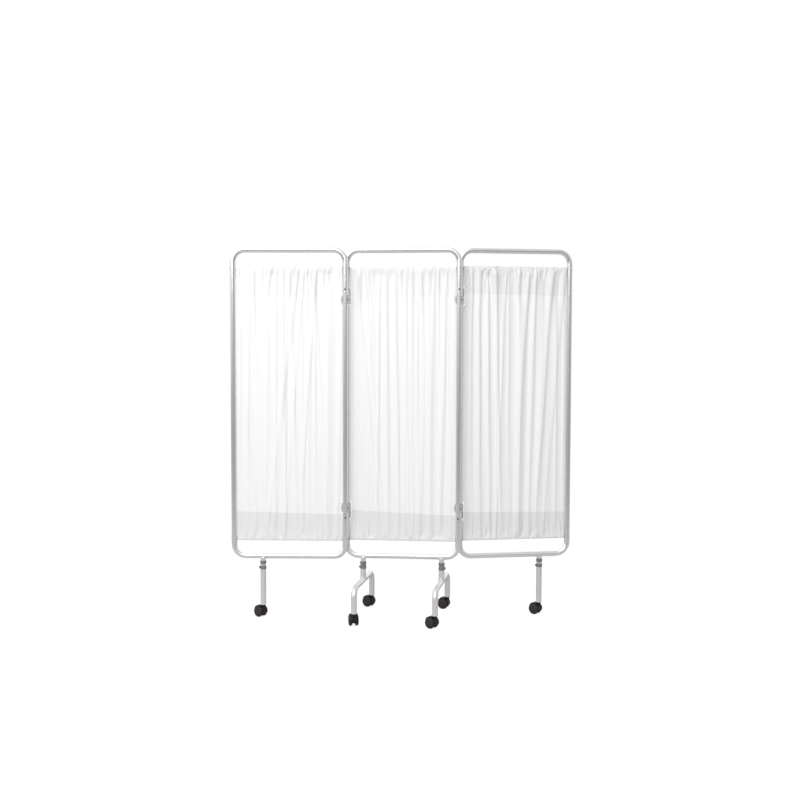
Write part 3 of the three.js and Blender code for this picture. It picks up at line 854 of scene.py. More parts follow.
@dataclass
class Curtain:
    """A gathered curtain with a deep hem round each rod, and its two rods.

    The hems' lines slope a little, and the edges stand back from the clips at the seams.
    """

    side: Side
    phase: float
    seed: int
    header: float
    hem_top: float
    hem_bottom: float
    slope_top: float
    slope_bottom: float
    seams: tuple[int, ...]
    pleats: tuple[Pleat, ...]
    edge_gap: float = 0.0008
    clip_room: float = 0.0064
    clip_middle: float = CLIP_MIDDLE
    clip_reach: float = CLIP_REACH
    clip_half: float = 0.0205
    clip_spine: float = CLIP_SPINE
    clip_ease: float = 0.008
    clip_blend: float = 0.03
    top_rod: float = TOP_ROD
    bottom_rod: float = BOTTOM_ROD
    rod: float = 0.006
    tube: float = TUBE
    pocket: float = 0.0043
    under_turn: float = 0.0063
    rod_clear: float = 0.024
    rod_bulge: float = 0.4
    ruffle: float = 0.0011
    ruffle_count: int = 19
    sideways: float = 0.0016
    fold_depth: float = 0.0046
    fold_count: int = 11
    gather_count: int = 42
    gather_depth: float = 0.0068
    gather_gain: float = 1.0
    columns: int = 300
    cloth: float = 0.0004
    # Painted shade on the top hem, as a share of the bottom hem's; set larger where the gathers shade it.
    top_hem_shade: float = 0.14
    crease_count: int = 14
    wave_count: int = 9
    back_rows: tuple[int, int] = (16, 18)
    front_rows: tuple[int, int] = (20, 22)
    turn_rows: int = 7
    main_rows: int = 32
    clip_rows: tuple[float, float, float] = (-0.036, 0.0641, 0.005)
    row_room: float = 0.002

    def fold(self, share: np.ndarray, height: np.ndarray) -> np.ndarray:
        """Gives how far the main folds leave the middle plane, as a share of their depth.

        Args:
            share: The share of the width.
            height: The height above the floor.

        Returns:
            The fold at each point.
        """
        third = (self.top_rod - self.bottom_rod) / 3
        row = np.interp(height, [
            self.bottom_rod, self.bottom_rod + 0.012, self.bottom_rod + third, self.top_rod - third,
            self.top_rod - 0.012, self.top_rod], np.arange(1, 7) / 7)
        phase, turn = self.phase, math.tau
        drift = (0.42 * np.sin(turn * (1.3 * share + 0.35 * row) + phase)
                 + 0.2 * np.sin(turn * (3.1 * share - 0.5 * row) + 2.7 * phase))
        swell = 0.62 + 0.38 * np.sin(turn * (2.3 * share + 0.15 * row) + 2 * phase)
        edge = np.minimum(1, 0.25 + 9 * np.minimum(share, 1 - share))
        angle = turn * (self.fold_count * share + drift) + phase
        return edge * swell * (np.sin(angle) + 0.2 * np.sin(2 * angle + 1.3))

    def creases(self, across: np.ndarray, height: np.ndarray, rng: np.random.Generator) -> np.ndarray:
        """Gives the narrow pleats and slack wrinkles that lie over the main folds.

        Args:
            across: The place across the curtain.
            height: The place up the curtain.
            rng: The random numbers of this curtain.

        Returns:
            The offset at each point.
        """
        total = np.zeros_like(across)
        width = across.max() - across.min()
        for _ in range(self.crease_count):
            start = rng.uniform(-0.47, 0.47) * width
            lean = rng.uniform(-0.06, 0.06)
            wide = rng.uniform(0.003, 0.009)
            deep = rng.uniform(0.0003, 0.0009) * rng.choice([-1, 1])
            middle = rng.uniform(0.45, 1.5)
            reach = rng.uniform(0.2, 0.7)
            line = start + lean * (height - 0.95) + 0.004 * np.sin(3.1 * height + start * 40)
            ridge = deep * np.exp(-((across - line) / wide) ** 2)
            total += ridge * np.exp(-((height - middle) / reach) ** 2)
        for _ in range(self.wave_count):
            wave = rng.uniform(0.012, 0.05)
            climb = rng.uniform(-1, 1) * 7
            total += rng.uniform(0.0001, 0.00035) * np.sin(
                math.tau * across / wave + climb * height + rng.uniform(0, math.tau))
        return total

    def gathers(self, across: np.ndarray, gap: np.ndarray, upper: np.ndarray,
                rng: np.random.Generator) -> np.ndarray:
        """Gives the small pleats that start at the rods and run out at different lengths.

        Args:
            across: The place across the curtain.
            gap: The distance from the nearer rod.
            upper: Whether the nearer rod is the top one.
            rng: The random numbers of this curtain.

        Returns:
            The offset at each point, towards the back.
        """
        total = np.zeros_like(across)
        width = across.max() - across.min()
        for number in range(2 * self.gather_count):
            top = number % 2 == 0
            start = rng.uniform(-0.49, 0.49) * width
            lean = rng.uniform(-0.11, 0.11)
            wide = rng.uniform(0.003, 0.0072)
            deep = self.gather_depth * self.gather_gain * rng.uniform(0.15, 0.9) * rng.choice([-0.8, 1])
            reach = rng.uniform(0.03, 0.14) if top else rng.uniform(0.012, 0.06)
            line = start + lean * gap
            here = upper if top else ~upper
            spread = wide * (1 + 6 * gap)
            total += here * deep * (1 if top else 0.9) * np.exp(
                -((across - line) / spread) ** 2 - (gap / reach) ** 1.5)
        return total

    def route(self) -> tuple[np.ndarray, np.ndarray, np.ndarray]:
        """Gives one thread's way: up the back of the top hem, over the rod, down, and round the lower rod.

        Returns:
            The heights, the offsets from the middle plane towards the back, and the share of painted hem
            shade, where the cloth lies double.
        """
        lie = 0.0009
        ease = 0.03
        lap = 0.0004

        def belly(gap: np.ndarray) -> np.ndarray:
            """Gives how far the pocket stands off at a distance from its rod."""
            return (self.pocket - lie) * np.exp(-(gap / ease) ** 2)

        def spread(span: float, count: int) -> np.ndarray:
            """Gives distances from a rod that are closer together near it."""
            return span * np.linspace(0, 1, count) ** 1.6

        up, down = spread(self.hem_top, self.back_rows[0]), spread(self.hem_bottom, self.back_rows[1])
        turn = np.linspace(0, math.pi, self.turn_rows + 2)[1:-1]
        near = spread(self.hem_top - lap, self.front_rows[0])
        low = spread(self.hem_bottom - lap, self.front_rows[1])
        high, deep = self.top_rod - self.hem_top - lap, self.bottom_rod + self.hem_bottom + lap
        spans = [np.linspace(high, deep, self.main_rows)]
        for level in Level:
            clip = self.clip_middle + level.value * self.clip_reach
            spans.append(clip + level.value * np.arange(*self.clip_rows))
        rows = np.concatenate(spans)
        inside = rows[(rows > deep + self.row_room) & (rows < high - self.row_room)]
        main = np.unique(np.round(inside, 5))[::-1]
        main = np.concatenate([[high], main, [deep]])
        heights = np.concatenate([
            (self.top_rod - up)[::-1], self.top_rod + self.header * np.sin(turn), self.top_rod - near, main,
            (self.bottom_rod + low)[::-1], self.bottom_rod - self.under_turn * np.sin(turn),
            self.bottom_rod + down])
        offsets = np.concatenate([
            (lie + belly(up))[::-1], self.pocket * np.cos(turn), -belly(near) - lie * np.exp(-near / ease),
            0 * main, (-belly(low) - lie * np.exp(-low / ease))[::-1], -self.pocket * np.cos(turn),
            lie + belly(down)])
        # Painted shade: full on the bottom hem, a smaller share on the top hem, none between.
        hem_shade = np.ones_like(heights)
        start = len(up) + len(turn) + len(near)
        hem_shade[:start] = self.top_hem_shade
        hem_shade[start:start + len(main)] = 0
        return heights, offsets, hem_shade

    def surface(self, width: float) -> tuple[np.ndarray, np.ndarray, np.ndarray, np.ndarray]:
        """Gives the points of the cloth.

        Args:
            width: The width between the curtain's edges.

        Returns:
            The points across, towards the back and up, each as rows of columns, and the share of painted hem
            shade.
        """
        rng = np.random.default_rng(self.seed)
        heights, offsets, hem_shade = self.route()
        share = np.linspace(0, 1, self.columns + 1)
        column, height = np.meshgrid(share, heights)
        row = (height - self.bottom_rod) / (self.top_rod - self.bottom_rod)
        gap = np.minimum(np.abs(self.top_rod - height), np.abs(height - self.bottom_rod))
        held, free = 0.012, 0.38
        slack = np.clip(gap / held, 0, 1) * 0.55 + np.clip((gap - held) / free, 0, 1) * 0.45
        main = self.fold_depth * slack * self.fold(column, height)
        across = (column - 0.5) * width
        fine = self.creases(across, height, rng)
        for pleat in self.pleats:
            fine = fine - pleat.offset(column, height, width)
        fine = fine * np.clip(gap / 0.02, 0, 1)
        gathers = self.gathers(across, gap, row > 0.5, rng)
        away = np.sign(offsets)[:, None]
        clear = np.clip(1 - gap / self.rod_clear, 0, 1)
        bulge = self.rod_bulge * np.abs(gathers) * away * clear
        gathers = gathers * (1 - clear) + bulge
        beyond = np.clip((height - self.top_rod) / self.header, 0, 1)
        swing = 5 * np.sin(math.tau * 1.7 * column + self.phase)
        ripple = np.sin(math.tau * self.ruffle_count * column + swing)
        height = height + self.slopes(column, height) - self.ruffle * beyond * (1 + ripple)
        across = across - self.drawn_in(across, height, width)
        edge = np.clip(np.minimum(column, 1 - column) / 0.02, 0.3, 1)
        inside = np.clip(edge * 2 - 1, 0, 1)
        lean = self.sideways * slack * np.cos(math.tau * self.fold_count * column + self.phase) * inside
        back = main + edge * (gathers + fine) + offsets[:, None]
        return across + lean, back, height, np.repeat(hem_shade[:, None], column.shape[1], 1)

    def drawn_in(self, across: np.ndarray, height: np.ndarray, width: float) -> np.ndarray:
        """Gives how far the cloth stands back from the clips along its edges at a seam.

        The right edge of a curtain meets a clip's lid, and the left edge meets its saddle with the spine.

        Args:
            across: The place across the curtain.
            height: The place up the curtain.
            width: The curtain's width.

        Returns:
            The shift away from the seam at each point, positive towards -X.
        """
        total = np.zeros_like(across)
        for level in Level:
            for seam in self.seams:
                spine = self.clip_spine if seam < 0 else 0.0
                middle = self.clip_middle + level.value * (self.clip_reach + spine / 2)
                beyond = np.abs(height - middle) - self.clip_half - spine / 2
                reach = np.clip(1 - beyond / self.clip_ease, 0, 1)
                near = reach ** 2 * (3 - 2 * reach)
                total += seam * self.clip_room * near * np.exp(-(width / 2 - seam * across) / self.clip_blend)
        return total

    def slopes(self, column: np.ndarray, height: np.ndarray) -> np.ndarray:
        """Gives how far the hems' lines leave the level.

        Args:
            column: The share of the width.
            height: The place up the curtain.

        Returns:
            The rise at each point.
        """
        total = np.zeros_like(height)
        lines = ((self.top_rod, -self.hem_top, self.slope_top),
                 (self.bottom_rod, self.hem_bottom, self.slope_bottom))
        for rod, hem, slope in lines:
            share = (height - rod) / hem
            bump = np.where(share < 1, np.clip(share, 0, 1), np.clip((5 - share) / 4, 0, 1))
            total += slope * (column - 0.5) * bump ** 2 * (3 - 2 * bump)
        return total

    def build(self, layout: Layout, shop: Workshop) -> None:
        """Builds the curtain, its stitches and its rods.

        Args:
            layout: Where the panel stands.
            shop: The shared trees.
        """
        side, place = self.side.value, layout.panel(self.side)
        body = "centre" if self.side is Side.CENTRE else f"{side}_panel"
        width = layout.stile_span - self.tube - 2 * self.edge_gap
        x, y, z, hem_shade = self.surface(width)
        for level, height in (("top", self.top_rod), ("bottom", self.bottom_rod)):
            half = layout.stile_span / 2 - self.tube / 2 - SEAT_GAP
            shell = Shell()
            shell.turned([(0, -half), (self.rod / 2, -half), (self.rod / 2, half), (0, half)], 20,
                         Matrix.Translation((0, 0, height)) @ Matrix.Rotation(math.pi / 2, 4, "Y"))
            rod = shell.piece(f"{side}_{level}_curtain_rod", STEEL, place)
            settle(rod, body, [f"{side}_{level}_rod"])
        cloth = self.cloth_piece(f"{side}_gathered_curtain", x, y, z, hem_shade, place)
        settle(cloth, body, [f"{side}_curtain"])
        seams = self.stitch_hems(f"{side}_hem_stitches", x, y, z, place, shop)
        settle(seams, body)
        length = float(np.abs(np.diff(self.route()[0])).sum())

    def cloth_piece(self, name: str, x: np.ndarray, y: np.ndarray, z: np.ndarray, hem_shade: np.ndarray,
                    place: Matrix) -> bpy.types.Object:
        """Makes the cloth's mesh with its flat cut as a UV map.

        Args:
            name: The piece's name.
            x: The points across.
            y: The points towards the back.
            z: The points up.
            hem_shade: The share of painted shade, where the cloth lies double.
            place: The panel's place.

        Returns:
            The new object.
        """
        rows, columns = x.shape
        points = np.stack([x, y, z], -1).reshape(-1, 3)
        mesh = bpy.data.meshes.new(name)
        index = np.arange(rows * columns).reshape(rows, columns)
        faces = np.stack([index[:-1, :-1], index[1:, :-1], index[1:, 1:], index[:-1, 1:]], -1).reshape(-1, 4)
        mesh.from_pydata(points.tolist(), [], faces.tolist())
        mesh.attributes.new("hem_shade", "FLOAT", "POINT").data.foreach_set("value", hem_shade.ravel())
        steps = np.hypot(np.diff(x, axis=1), np.diff(y, axis=1)).mean(0)
        along = np.concatenate([[0], np.cumsum(steps)])
        falls = np.hypot(np.diff(z, axis=0), np.diff(y, axis=0)).mean(1)
        down = np.concatenate([[0], np.cumsum(falls)])
        flat = np.stack(np.meshgrid(along, down), -1).reshape(-1, 2)
        loops = np.empty(len(mesh.loops), dtype=np.int32)
        mesh.loops.foreach_get("vertex_index", loops)
        mesh.uv_layers.new(name="cloth").data.foreach_set("uv", flat[loops].ravel())
        mesh.materials.append(CLOTH.material())
        mesh.shade_smooth()
        mesh.transform(place)
        piece = show(name, mesh)
        wall = piece.modifiers.new("cloth_thickness", "SOLIDIFY")
        wall.thickness = self.cloth
        wall.offset = 0
        return piece

    def stitch_hems(self, name: str, x: np.ndarray, y: np.ndarray, z: np.ndarray, place: Matrix,
                    shop: Workshop) -> bpy.types.Object:
        """Makes the stitches along both hems, on the front.

        Args:
            name: The piece's name.
            x: The points across.
            y: The points towards the back.
            z: The points up.
            place: The panel's place.
            shop: The shared trees.

        Returns:
            The new object.
        """
        heights = self.route()[0]
        front = np.arange(self.back_rows[0] + self.turn_rows,
                          len(heights) - self.back_rows[1] - self.turn_rows)
        points, edges = [], []
        inset = 0.0022
        for level in (self.top_rod - self.hem_top + inset, self.bottom_rod + self.hem_bottom - inset):
            row = front[np.argmin(np.abs(heights[front] - level))]
            dx, dy = np.gradient(x[row]), np.gradient(y[row])
            long = np.hypot(dx, dy)
            off = self.cloth / 2 + 0.00012
            start = len(points)
            line = np.stack([x[row] + dy / long * off, y[row] - dx / long * off, z[row]], -1)
            points.extend(line.tolist())
            edges.extend((start + i, start + i + 1) for i in range(len(line) - 1))
        carrier = bpy.data.meshes.new(name)
        carrier.from_pydata(points, edges, [])
        shell = Shell()
        shell.take(shop.stitches.grow(carrier, {"Finish": THREAD.material()}))
        return shell.piece(name, THREAD, place)


@dataclass
class HingeClips:
    """The two clips of a seam: each a U-shaped body on the rear stile and a cap on the front one."""

    side: Side
    spacing: float = 0.028
    bore: float = 0.01285
    side_wall: float = 0.0037
    crown_wall: float = 0.0022
    height: float = 0.036
    spine: float = CLIP_SPINE
    ear: float = 0.005
    gap: float = SEAT_GAP
    middle: float = CLIP_MIDDLE
    reach: float = CLIP_REACH
    single: float = 0.045
    screw_reach: float = 0.0134
    boss: float = 0.0036
    boss_height: float = 0.0014
    edge: float = 0.0005
    lid_screw: Point = (0.0068, 0.0024)
    stop_screw: Point = (0.0074, 0.0022)
    stop_seat: float = 0.0122

    def arc(self, centre: float, wide: float, deep: float, start: float, end: float) -> list[Point]:
        """Gives points on an elliptic arc, wide across and deep along X, between two angles in degrees."""
        angles = np.radians(np.linspace(start, end, 25))
        return [(centre + deep * math.cos(a), wide * math.sin(a)) for a in angles]

    def build(self, layout: Layout, shop: Workshop) -> None:
        """Builds both clips with their screws.

        Args:
            layout: Where the seam is.
            shop: The shared trees.
        """
        side = self.side.value
        half, crown = self.bore + self.side_wall, self.bore + self.crown_wall
        parting = self.spacing - self.gap / 2
        rear_outer = self.arc(0, half, crown, 90, 270)
        rear_bore = self.arc(0, self.bore, self.bore, 270, 90)
        saddle = [(parting, half), *rear_outer, (parting, -half), (parting, -self.bore), *rear_bore,
                  (parting, self.bore)]
        flank = math.degrees(math.asin(self.ear / crown))
        bite = math.degrees(math.asin(self.gap / 2 / self.bore))
        cap = [(self.spacing + self.gap / 2, half),
               *self.arc(self.spacing, self.bore, self.bore, 90 - bite, -90 + bite),
               (self.spacing + self.gap / 2, -half), (self.spacing + self.ear, -half),
               *self.arc(self.spacing, crown, crown, -90 + flank, 90 - flank),
               (self.spacing + self.ear, half)]
        spots, ways = [], []
        base = layout.link(self.side)
        for level in Level:
            place = base @ Matrix.Translation((0, 0, self.middle + level.value * self.reach))
            if level is Level.LOWER:
                place = place @ Matrix.Rotation(math.pi, 4, "X")
            low, high = -self.height / 2, self.height / 2
            body = Shell()
            body.prism(saddle, low, high)
            body.prism([*rear_outer, *rear_bore], high - 0.001, high + self.spine)
            name = level.name.lower()
            piece = body.piece(f"{side}_{name}_clip_saddle", CLIP_METAL, place, round_off=self.edge)
            settle(piece, f"{side}_link", [f"{side}_{name}_clip"])
            lid = Shell()
            lid.prism(cap, low, high)
            front = self.spacing + self.ear + self.boss_height
            for across in (-1, 1):
                seat = Matrix.Translation((self.spacing + self.gap / 2, across * self.screw_reach, 0))
                lid.turned(rounded([
                    (0, 0, 0), (self.boss, 0, 0), (self.boss, front - self.spacing, 0.0006),
                    (0, front - self.spacing, 0)]), 24, seat @ Matrix.Rotation(math.pi / 2, 4, "Y"))
            piece = lid.piece(f"{side}_{name}_clip_lid", CLIP_METAL, place, round_off=self.edge)
            settle(piece, f"{side}_link", [f"{side}_{name}_clip_cap"])
            for across in (-1, 1):
                spots.append(place @ Vector((front, across * self.screw_reach, 0)))
                ways.append(place.to_3x3() @ Vector((1, 0, 0)))
        screws = shop.screws.piece(f"{side}_clip_screws", spots, ways, *self.lid_screw)
        settle(screws, f"{side}_link")
        self.stop_screws(layout, shop)

    def stop_screws(self, layout: Layout, shop: Workshop) -> None:
        """Adds the single screws on the front stile that keep each clip in its place.

        Args:
            layout: Where the seam is.
            shop: The shared trees.
        """
        side = self.side
        base = layout.link(side)
        owner = Side.LEFT if side is Side.LEFT else Side.CENTRE
        front = layout.panel(owner).to_3x3() @ Vector((0, -1, 0))
        spots = []
        for level in Level:
            height = self.middle + level.value * (self.reach + self.single)
            spots.append(base @ Vector((self.spacing, 0, height)) + front * self.stop_seat)
        screws = shop.screws.piece(f"{side.value}_stop_screws", spots, [front, front], *self.stop_screw)
        settle(screws, "left_panel" if side is Side.LEFT else "centre")


@dataclass
class LegFittings:
    """The stop collar on a stub and the lock ring that caps the leg."""

    name: str
    body: str
    slide: str
    drawn_out: float
    lug_angle: float
    stub: float = STUB
    tube: float = TUBE
    outer: float = RING_RADIUS
    height: float = 0.017
    top: float = 0.2345
    lip: float = 0.0025
    gap: float = SEAT_GAP
    rounding: float = 0.0056
    lug_reach: float = 0.0046
    lug_width: float = 0.009
    lug_root: float = 0.0008
    lug_low: float = 0.0036
    lug_top: float = 0.0042
    edge: float = 0.0004
    clamp_screw: Point = (0.0048, 0.0013)

    def build(self, place: Matrix, shop: Workshop) -> None:
        """Builds both rings.

        Args:
            place: The stub's place on the floor, turned as its panel is.
            shop: The shared trees.
        """
        bore, wide = self.stub / 2 + self.gap, self.tube / 2 + self.gap
        collar = Shell()
        collar.turned([*rounded([
            (bore, 0, 0), (self.outer, 0, self.rounding), (self.outer, self.height, self.rounding),
            (bore, self.height, 0)]), (bore, 0)], 48)
        piece = collar.piece(f"{self.name}_upper_collar", COLLAR_PLASTIC,
                             place @ Matrix.Translation((0, 0, self.top + self.drawn_out)))
        settle(piece, self.body, [f"{self.name}_stop_collar"])
        ring = Shell()
        ring.turned([*rounded([
            (wide, 0, 0), (self.outer, 0, self.rounding / 2), (self.outer, self.height, self.rounding),
            (bore, self.height, 0)]), (bore, self.height - self.lip), (wide, self.height - self.lip),
            (wide, 0)], 48)
        turned = place @ Matrix.Translation((0, 0, self.top - self.height)) @ Matrix.Rotation(
            self.lug_angle, 4, "Z")
        self.add_lug(ring)
        piece = ring.piece(f"{self.name}_clamp_ring", COLLAR_PLASTIC, turned, round_off=self.edge)
        settle(piece, self.slide, [f"{self.name}_lock_ring"])
        spot = turned @ Vector((-self.outer - self.lug_reach * 0.35, -self.lug_width / 2, self.height / 2))
        screw = shop.screws.piece(f"{self.name}_clamp_screw", [spot], [turned.to_3x3() @ Vector((0, -1, 0))],
                                  *self.clamp_screw)
        settle(screw, self.slide)

    def add_lug(self, ring: Shell) -> None:
        """Adds the lug that holds the clamp screw.

        Args:
            ring: The ring's shell.
        """
        end = self.outer + self.lug_reach - self.lug_width / 2
        half = self.lug_width / 2
        nose = [(-end - half * math.sin(a), half * math.cos(a)) for a in np.linspace(0, math.pi, 15)]
        root = self.outer - self.lug_root
        ring.prism([(-root, half), *nose, (-root, -half)], self.lug_low, self.height - self.lug_top)


def weld_bead(shell: Shell, radius: float, root: float, profile: Sequence[Point], sides: int,
              place: Matrix = Matrix()) -> None:
    """Adds a weld bead round an upright tube. Its profile goes out from the tube and up from the root."""
    shell.turned([(radius + out, root + up) for out, up in profile], sides, place)


def end_plug(shell: Shell, place: Matrix, bottom: float = LEG_BOTTOM, ring: float = RING_RADIUS,
             height: float = 0.0042) -> None:
    """Adds the plug ring at the lower end of a leg."""
    shell.turned(rounded([(0, bottom, 0), (ring, bottom, 0.0008), (ring, bottom + height, 0.0012),
                          (0, bottom + height, 0)]), 40, place)


def sleeve(shell: Shell, low: float, high: float, floor: float, bore: float = 0.01135,
           radius: float = TUBE / 2) -> None:
    """Adds an upright tube that is open at the top, with a bore down to a floor."""
    shell.turned([(0, low), (radius, low), (radius, high), (bore, high), (bore, floor), (0, floor)], 40)


@dataclass
class SingleLeg:
    """The straight leg of a side panel."""

    side: Side
    bottom: float = LEG_BOTTOM
    top: float = LEG_TOP
    plug: float = 0.014

    def build(self, layout: Layout, shop: Workshop) -> None:
        """Builds the leg, its rings and its caster.

        Args:
            layout: Where it stands.
            shop: The shared trees.
        """
        side = self.side.value
        pin = layout.places[f"{side}_leg_caster_swivel"]
        angle = layout.panel(self.side).to_euler().z
        place = standing(pin.x, pin.y, angle)
        shell = Shell()
        sleeve(shell, self.bottom + PLUG_LIP, self.top, self.bottom + self.plug)
        end_plug(shell, Matrix())
        piece = shell.piece(f"{side}_single_leg", LEG_TUBE, place)
        settle(piece, f"{side}_leg", [f"{side}_leg"])
        rings = LegFittings(f"{side}_leg", f"{side}_panel", f"{side}_leg", drawn_out=0.005, lug_angle=0.0)
        rings.build(place, shop)
        Caster(f"{side}_leg").build(layout)


@dataclass
class UFoot:
    """A foot of the centre panel: a bent U of tube with a stem welded on its crossbar."""

    side: Side
    rise: float = 0.166
    bottom: float = LEG_BOTTOM
    top: float = LEG_TOP
    tube: float = TUBE
    bend: float = 0.042
    bead: float = 0.0017
    bead_root: float = 0.0075

    def build(self, layout: Layout, shop: Workshop) -> None:
        """Builds the foot, its rings and its casters.

        Args:
            layout: Where it stands.
            shop: The shared trees.
        """
        side = self.side.value
        place = layout.foot(self.side)
        stem = layout.places[f"{side}_foot_turn"]
        reach = (layout.places[f"{side}_foot_rear_caster_swivel"] - stem).to_2d().length
        low = self.bottom + PLUG_LIP
        line = [(0, -reach, low), (0, -reach, self.rise), (0, reach, self.rise), (0, reach, low)]
        shell = Shell()
        shell.take(shop.tube.grow(path_mesh("foot_line", line, closed=False), {
            "Tube Diameter": self.tube, "Bend Radius": self.bend, "Finish": LEG_TUBE.material()}))
        sleeve(shell, self.rise, self.top, self.rise + self.tube / 2 + 0.001)
        weld_bead(shell, self.tube / 2, self.rise + self.bead_root, [
            (-0.001, 0.0105), (0.0004, 0.009), (self.bead * 0.45, 0.0065), (self.bead, 0.001),
            (self.bead, -0.003), (-0.001, -0.003), (-0.001, 0.0105)], 40)
        for end in (-1, 1):
            end_plug(shell, Matrix.Translation((0, end * reach, 0)))
        piece = shell.piece(f"{side}_u_foot", LEG_TUBE, place)
        settle(piece, f"{side}_foot", [f"{side}_foot"])
        upright = standing(stem.x, stem.y, 0.0)
        lug = 0.0 if self.side is Side.LEFT else math.pi
        rings = LegFittings(f"{side}_foot", "centre", f"{side}_foot_ring", drawn_out=SEAT_GAP, lug_angle=lug)
        rings.build(upright, shop)
        for end in ("front", "rear"):
            Caster(f"{side}_foot_{end}").build(layout)


@dataclass
class Caster:
    """A twin-wheel caster: a web with a hood and a neck, and two domed wheels."""

    name: str
    height: float = 0.0567
    radius: float = 0.025
    trail: float = 0.018
    gap: float = 0.012
    tread: float = 0.013
    width: float = 0.017
    hub: float = 0.0085
    neck: float = 0.009
    well: float = 0.0262
    wall: float = 0.0023
    start: float = -20.0
    end: float = 150.0
    taper: float = 34.0
    web: float = 0.0205
    hood_edge: tuple[Point, ...] = (
        (0, 0.0006), (0.12, 0.0002), (0.4, 0.0008), (0.66, 0.0028), (0.85, 0.006))

    def build(self, layout: Layout) -> None:
        """Builds the body and both wheels.

        Args:
            layout: Where the caster stands.
        """
        body = Shell()
        self.add_hood(body)
        self.add_web(body)
        body.turned(rounded([
            (0, self.radius, 0), (self.neck + 0.0012, self.radius, 0), (self.neck, 0.052, 0.0006),
            (self.neck, self.height, 0.0006), (0, self.height, 0)]), 32)
        place = layout.caster(self.name)
        piece = body.piece(f"{self.name}_caster_hood", CASTER_PLASTIC, place)
        settle(piece, f"{self.name}_caster", [f"{self.name}_caster_body"])
        axle = layout.axle(self.name)
        for letter in "ab":
            spot = layout.places[f"{self.name}_wheel_{letter}_spin"]
            out = (spot - axle).normalized()
            turn = out.to_track_quat("Z", "Y").to_matrix().to_4x4()
            wheel = Shell()
            wheel.turned(self.wheel_profile(), 56)
            piece = wheel.piece(f"{self.name}_wheel_{letter}_disc", WHEEL_PLASTIC,
                                Matrix.Translation(spot) @ turn, crease=24.0)
            settle(piece, f"{self.name}_wheel_{letter}", [f"{self.name}_wheel_{letter}"])

    def wheel_profile(self) -> list[Point]:
        """Gives a wheel's profile, with the height away from its twin.

        Returns:
            Points of radius and height.
        """
        r, wide, tread = self.radius, self.width, self.tread
        inner = [(0, 0.0136), (0.0034, 0.0136), (0.0034, 0.0006), (0.0062, 0.0004), (0.0062, 0.0105),
                 (0.0182, 0.0105), (0.0187, 0.001), (0.0192, 0.0004)]
        shoulder = [(r - 0.005, 0.0004), (r - 0.0032, 0.0014), (r - 0.0014, 0.0033), (r - 0.0003, 0.0055),
                    (r, 0.0072), (r, tread - 0.0044), (r - 0.0004, tread - 0.0024),
                    (r - 0.0013, tread - 0.0009)]
        groove = [(r - 0.0022, tread + 0.0002), (r - 0.0026, tread - 0.0002), (r - 0.0031, tread + 0.0005)]
        dome = [((r - 0.0034) * math.cos(a), tread + 0.0007 + (wide - tread - 0.0011) * math.sin(a))
                for a in np.radians(np.linspace(8, 66, 9))]
        cap = [(0.0078, wide - 0.0006), (0.0074, wide - 0.0008), (0.0068, wide - 0.0003),
               (0.0045, wide - 0.0001), (0, wide)]
        return [*inner, *shoulder, *groove, *dome, *cap]

    def add_hood(self, body: Shell) -> None:
        """Adds the hood over both wheels.

        Args:
            body: The body's shell.
        """
        rows = []
        for angle in np.linspace(self.start, self.end, 45):
            end = min(angle - self.start, self.end - angle) / self.taper
            thin = math.sin(math.pi / 2 * min(1.0, 0.12 + end))
            half = (self.gap / 2 + self.tread) * (0.8 + 0.2 * thin) - 0.0004
            low, high = self.well, self.well + self.wall * thin
            wall = high - low
            side = [*((low + share * wall, half - inset) for share, inset in self.hood_edge),
                    (high, half * 0.4)]
            section = [*((r, -y) for r, y in side[::-1]), *side]
            turn = math.radians(angle)
            rows.append([Vector((r * math.cos(turn) - self.trail, y, r * math.sin(turn) + self.radius))
                         for r, y in section])
        body.grid(rows)

    def add_web(self, body: Shell) -> None:
        """Adds the web between the wheels, with the hub round the axle.

        Args:
            body: The body's shell.
        """
        half = self.gap / 2 - 0.0008
        outer = []
        for angle in np.linspace(self.start, self.end, 33):
            end = min(1.0, min(angle - self.start, self.end - angle) / self.taper)
            rim = self.web + (self.well + self.wall / 2 - self.web) * math.sin(math.pi / 2 * end)
            outer.append((rim * math.cos(math.radians(angle)), rim * math.sin(math.radians(angle))))
        hub = [(self.hub * math.cos(a), self.hub * math.sin(a))
               for a in np.radians(np.linspace(self.end, self.start + 270, 13))]
        outline = [(x - self.trail, z + self.radius) for x, z in [*outer, *hub]]
        body.prism(outline, -half, half, Matrix.Rotation(math.pi / 2, 4, "X"))


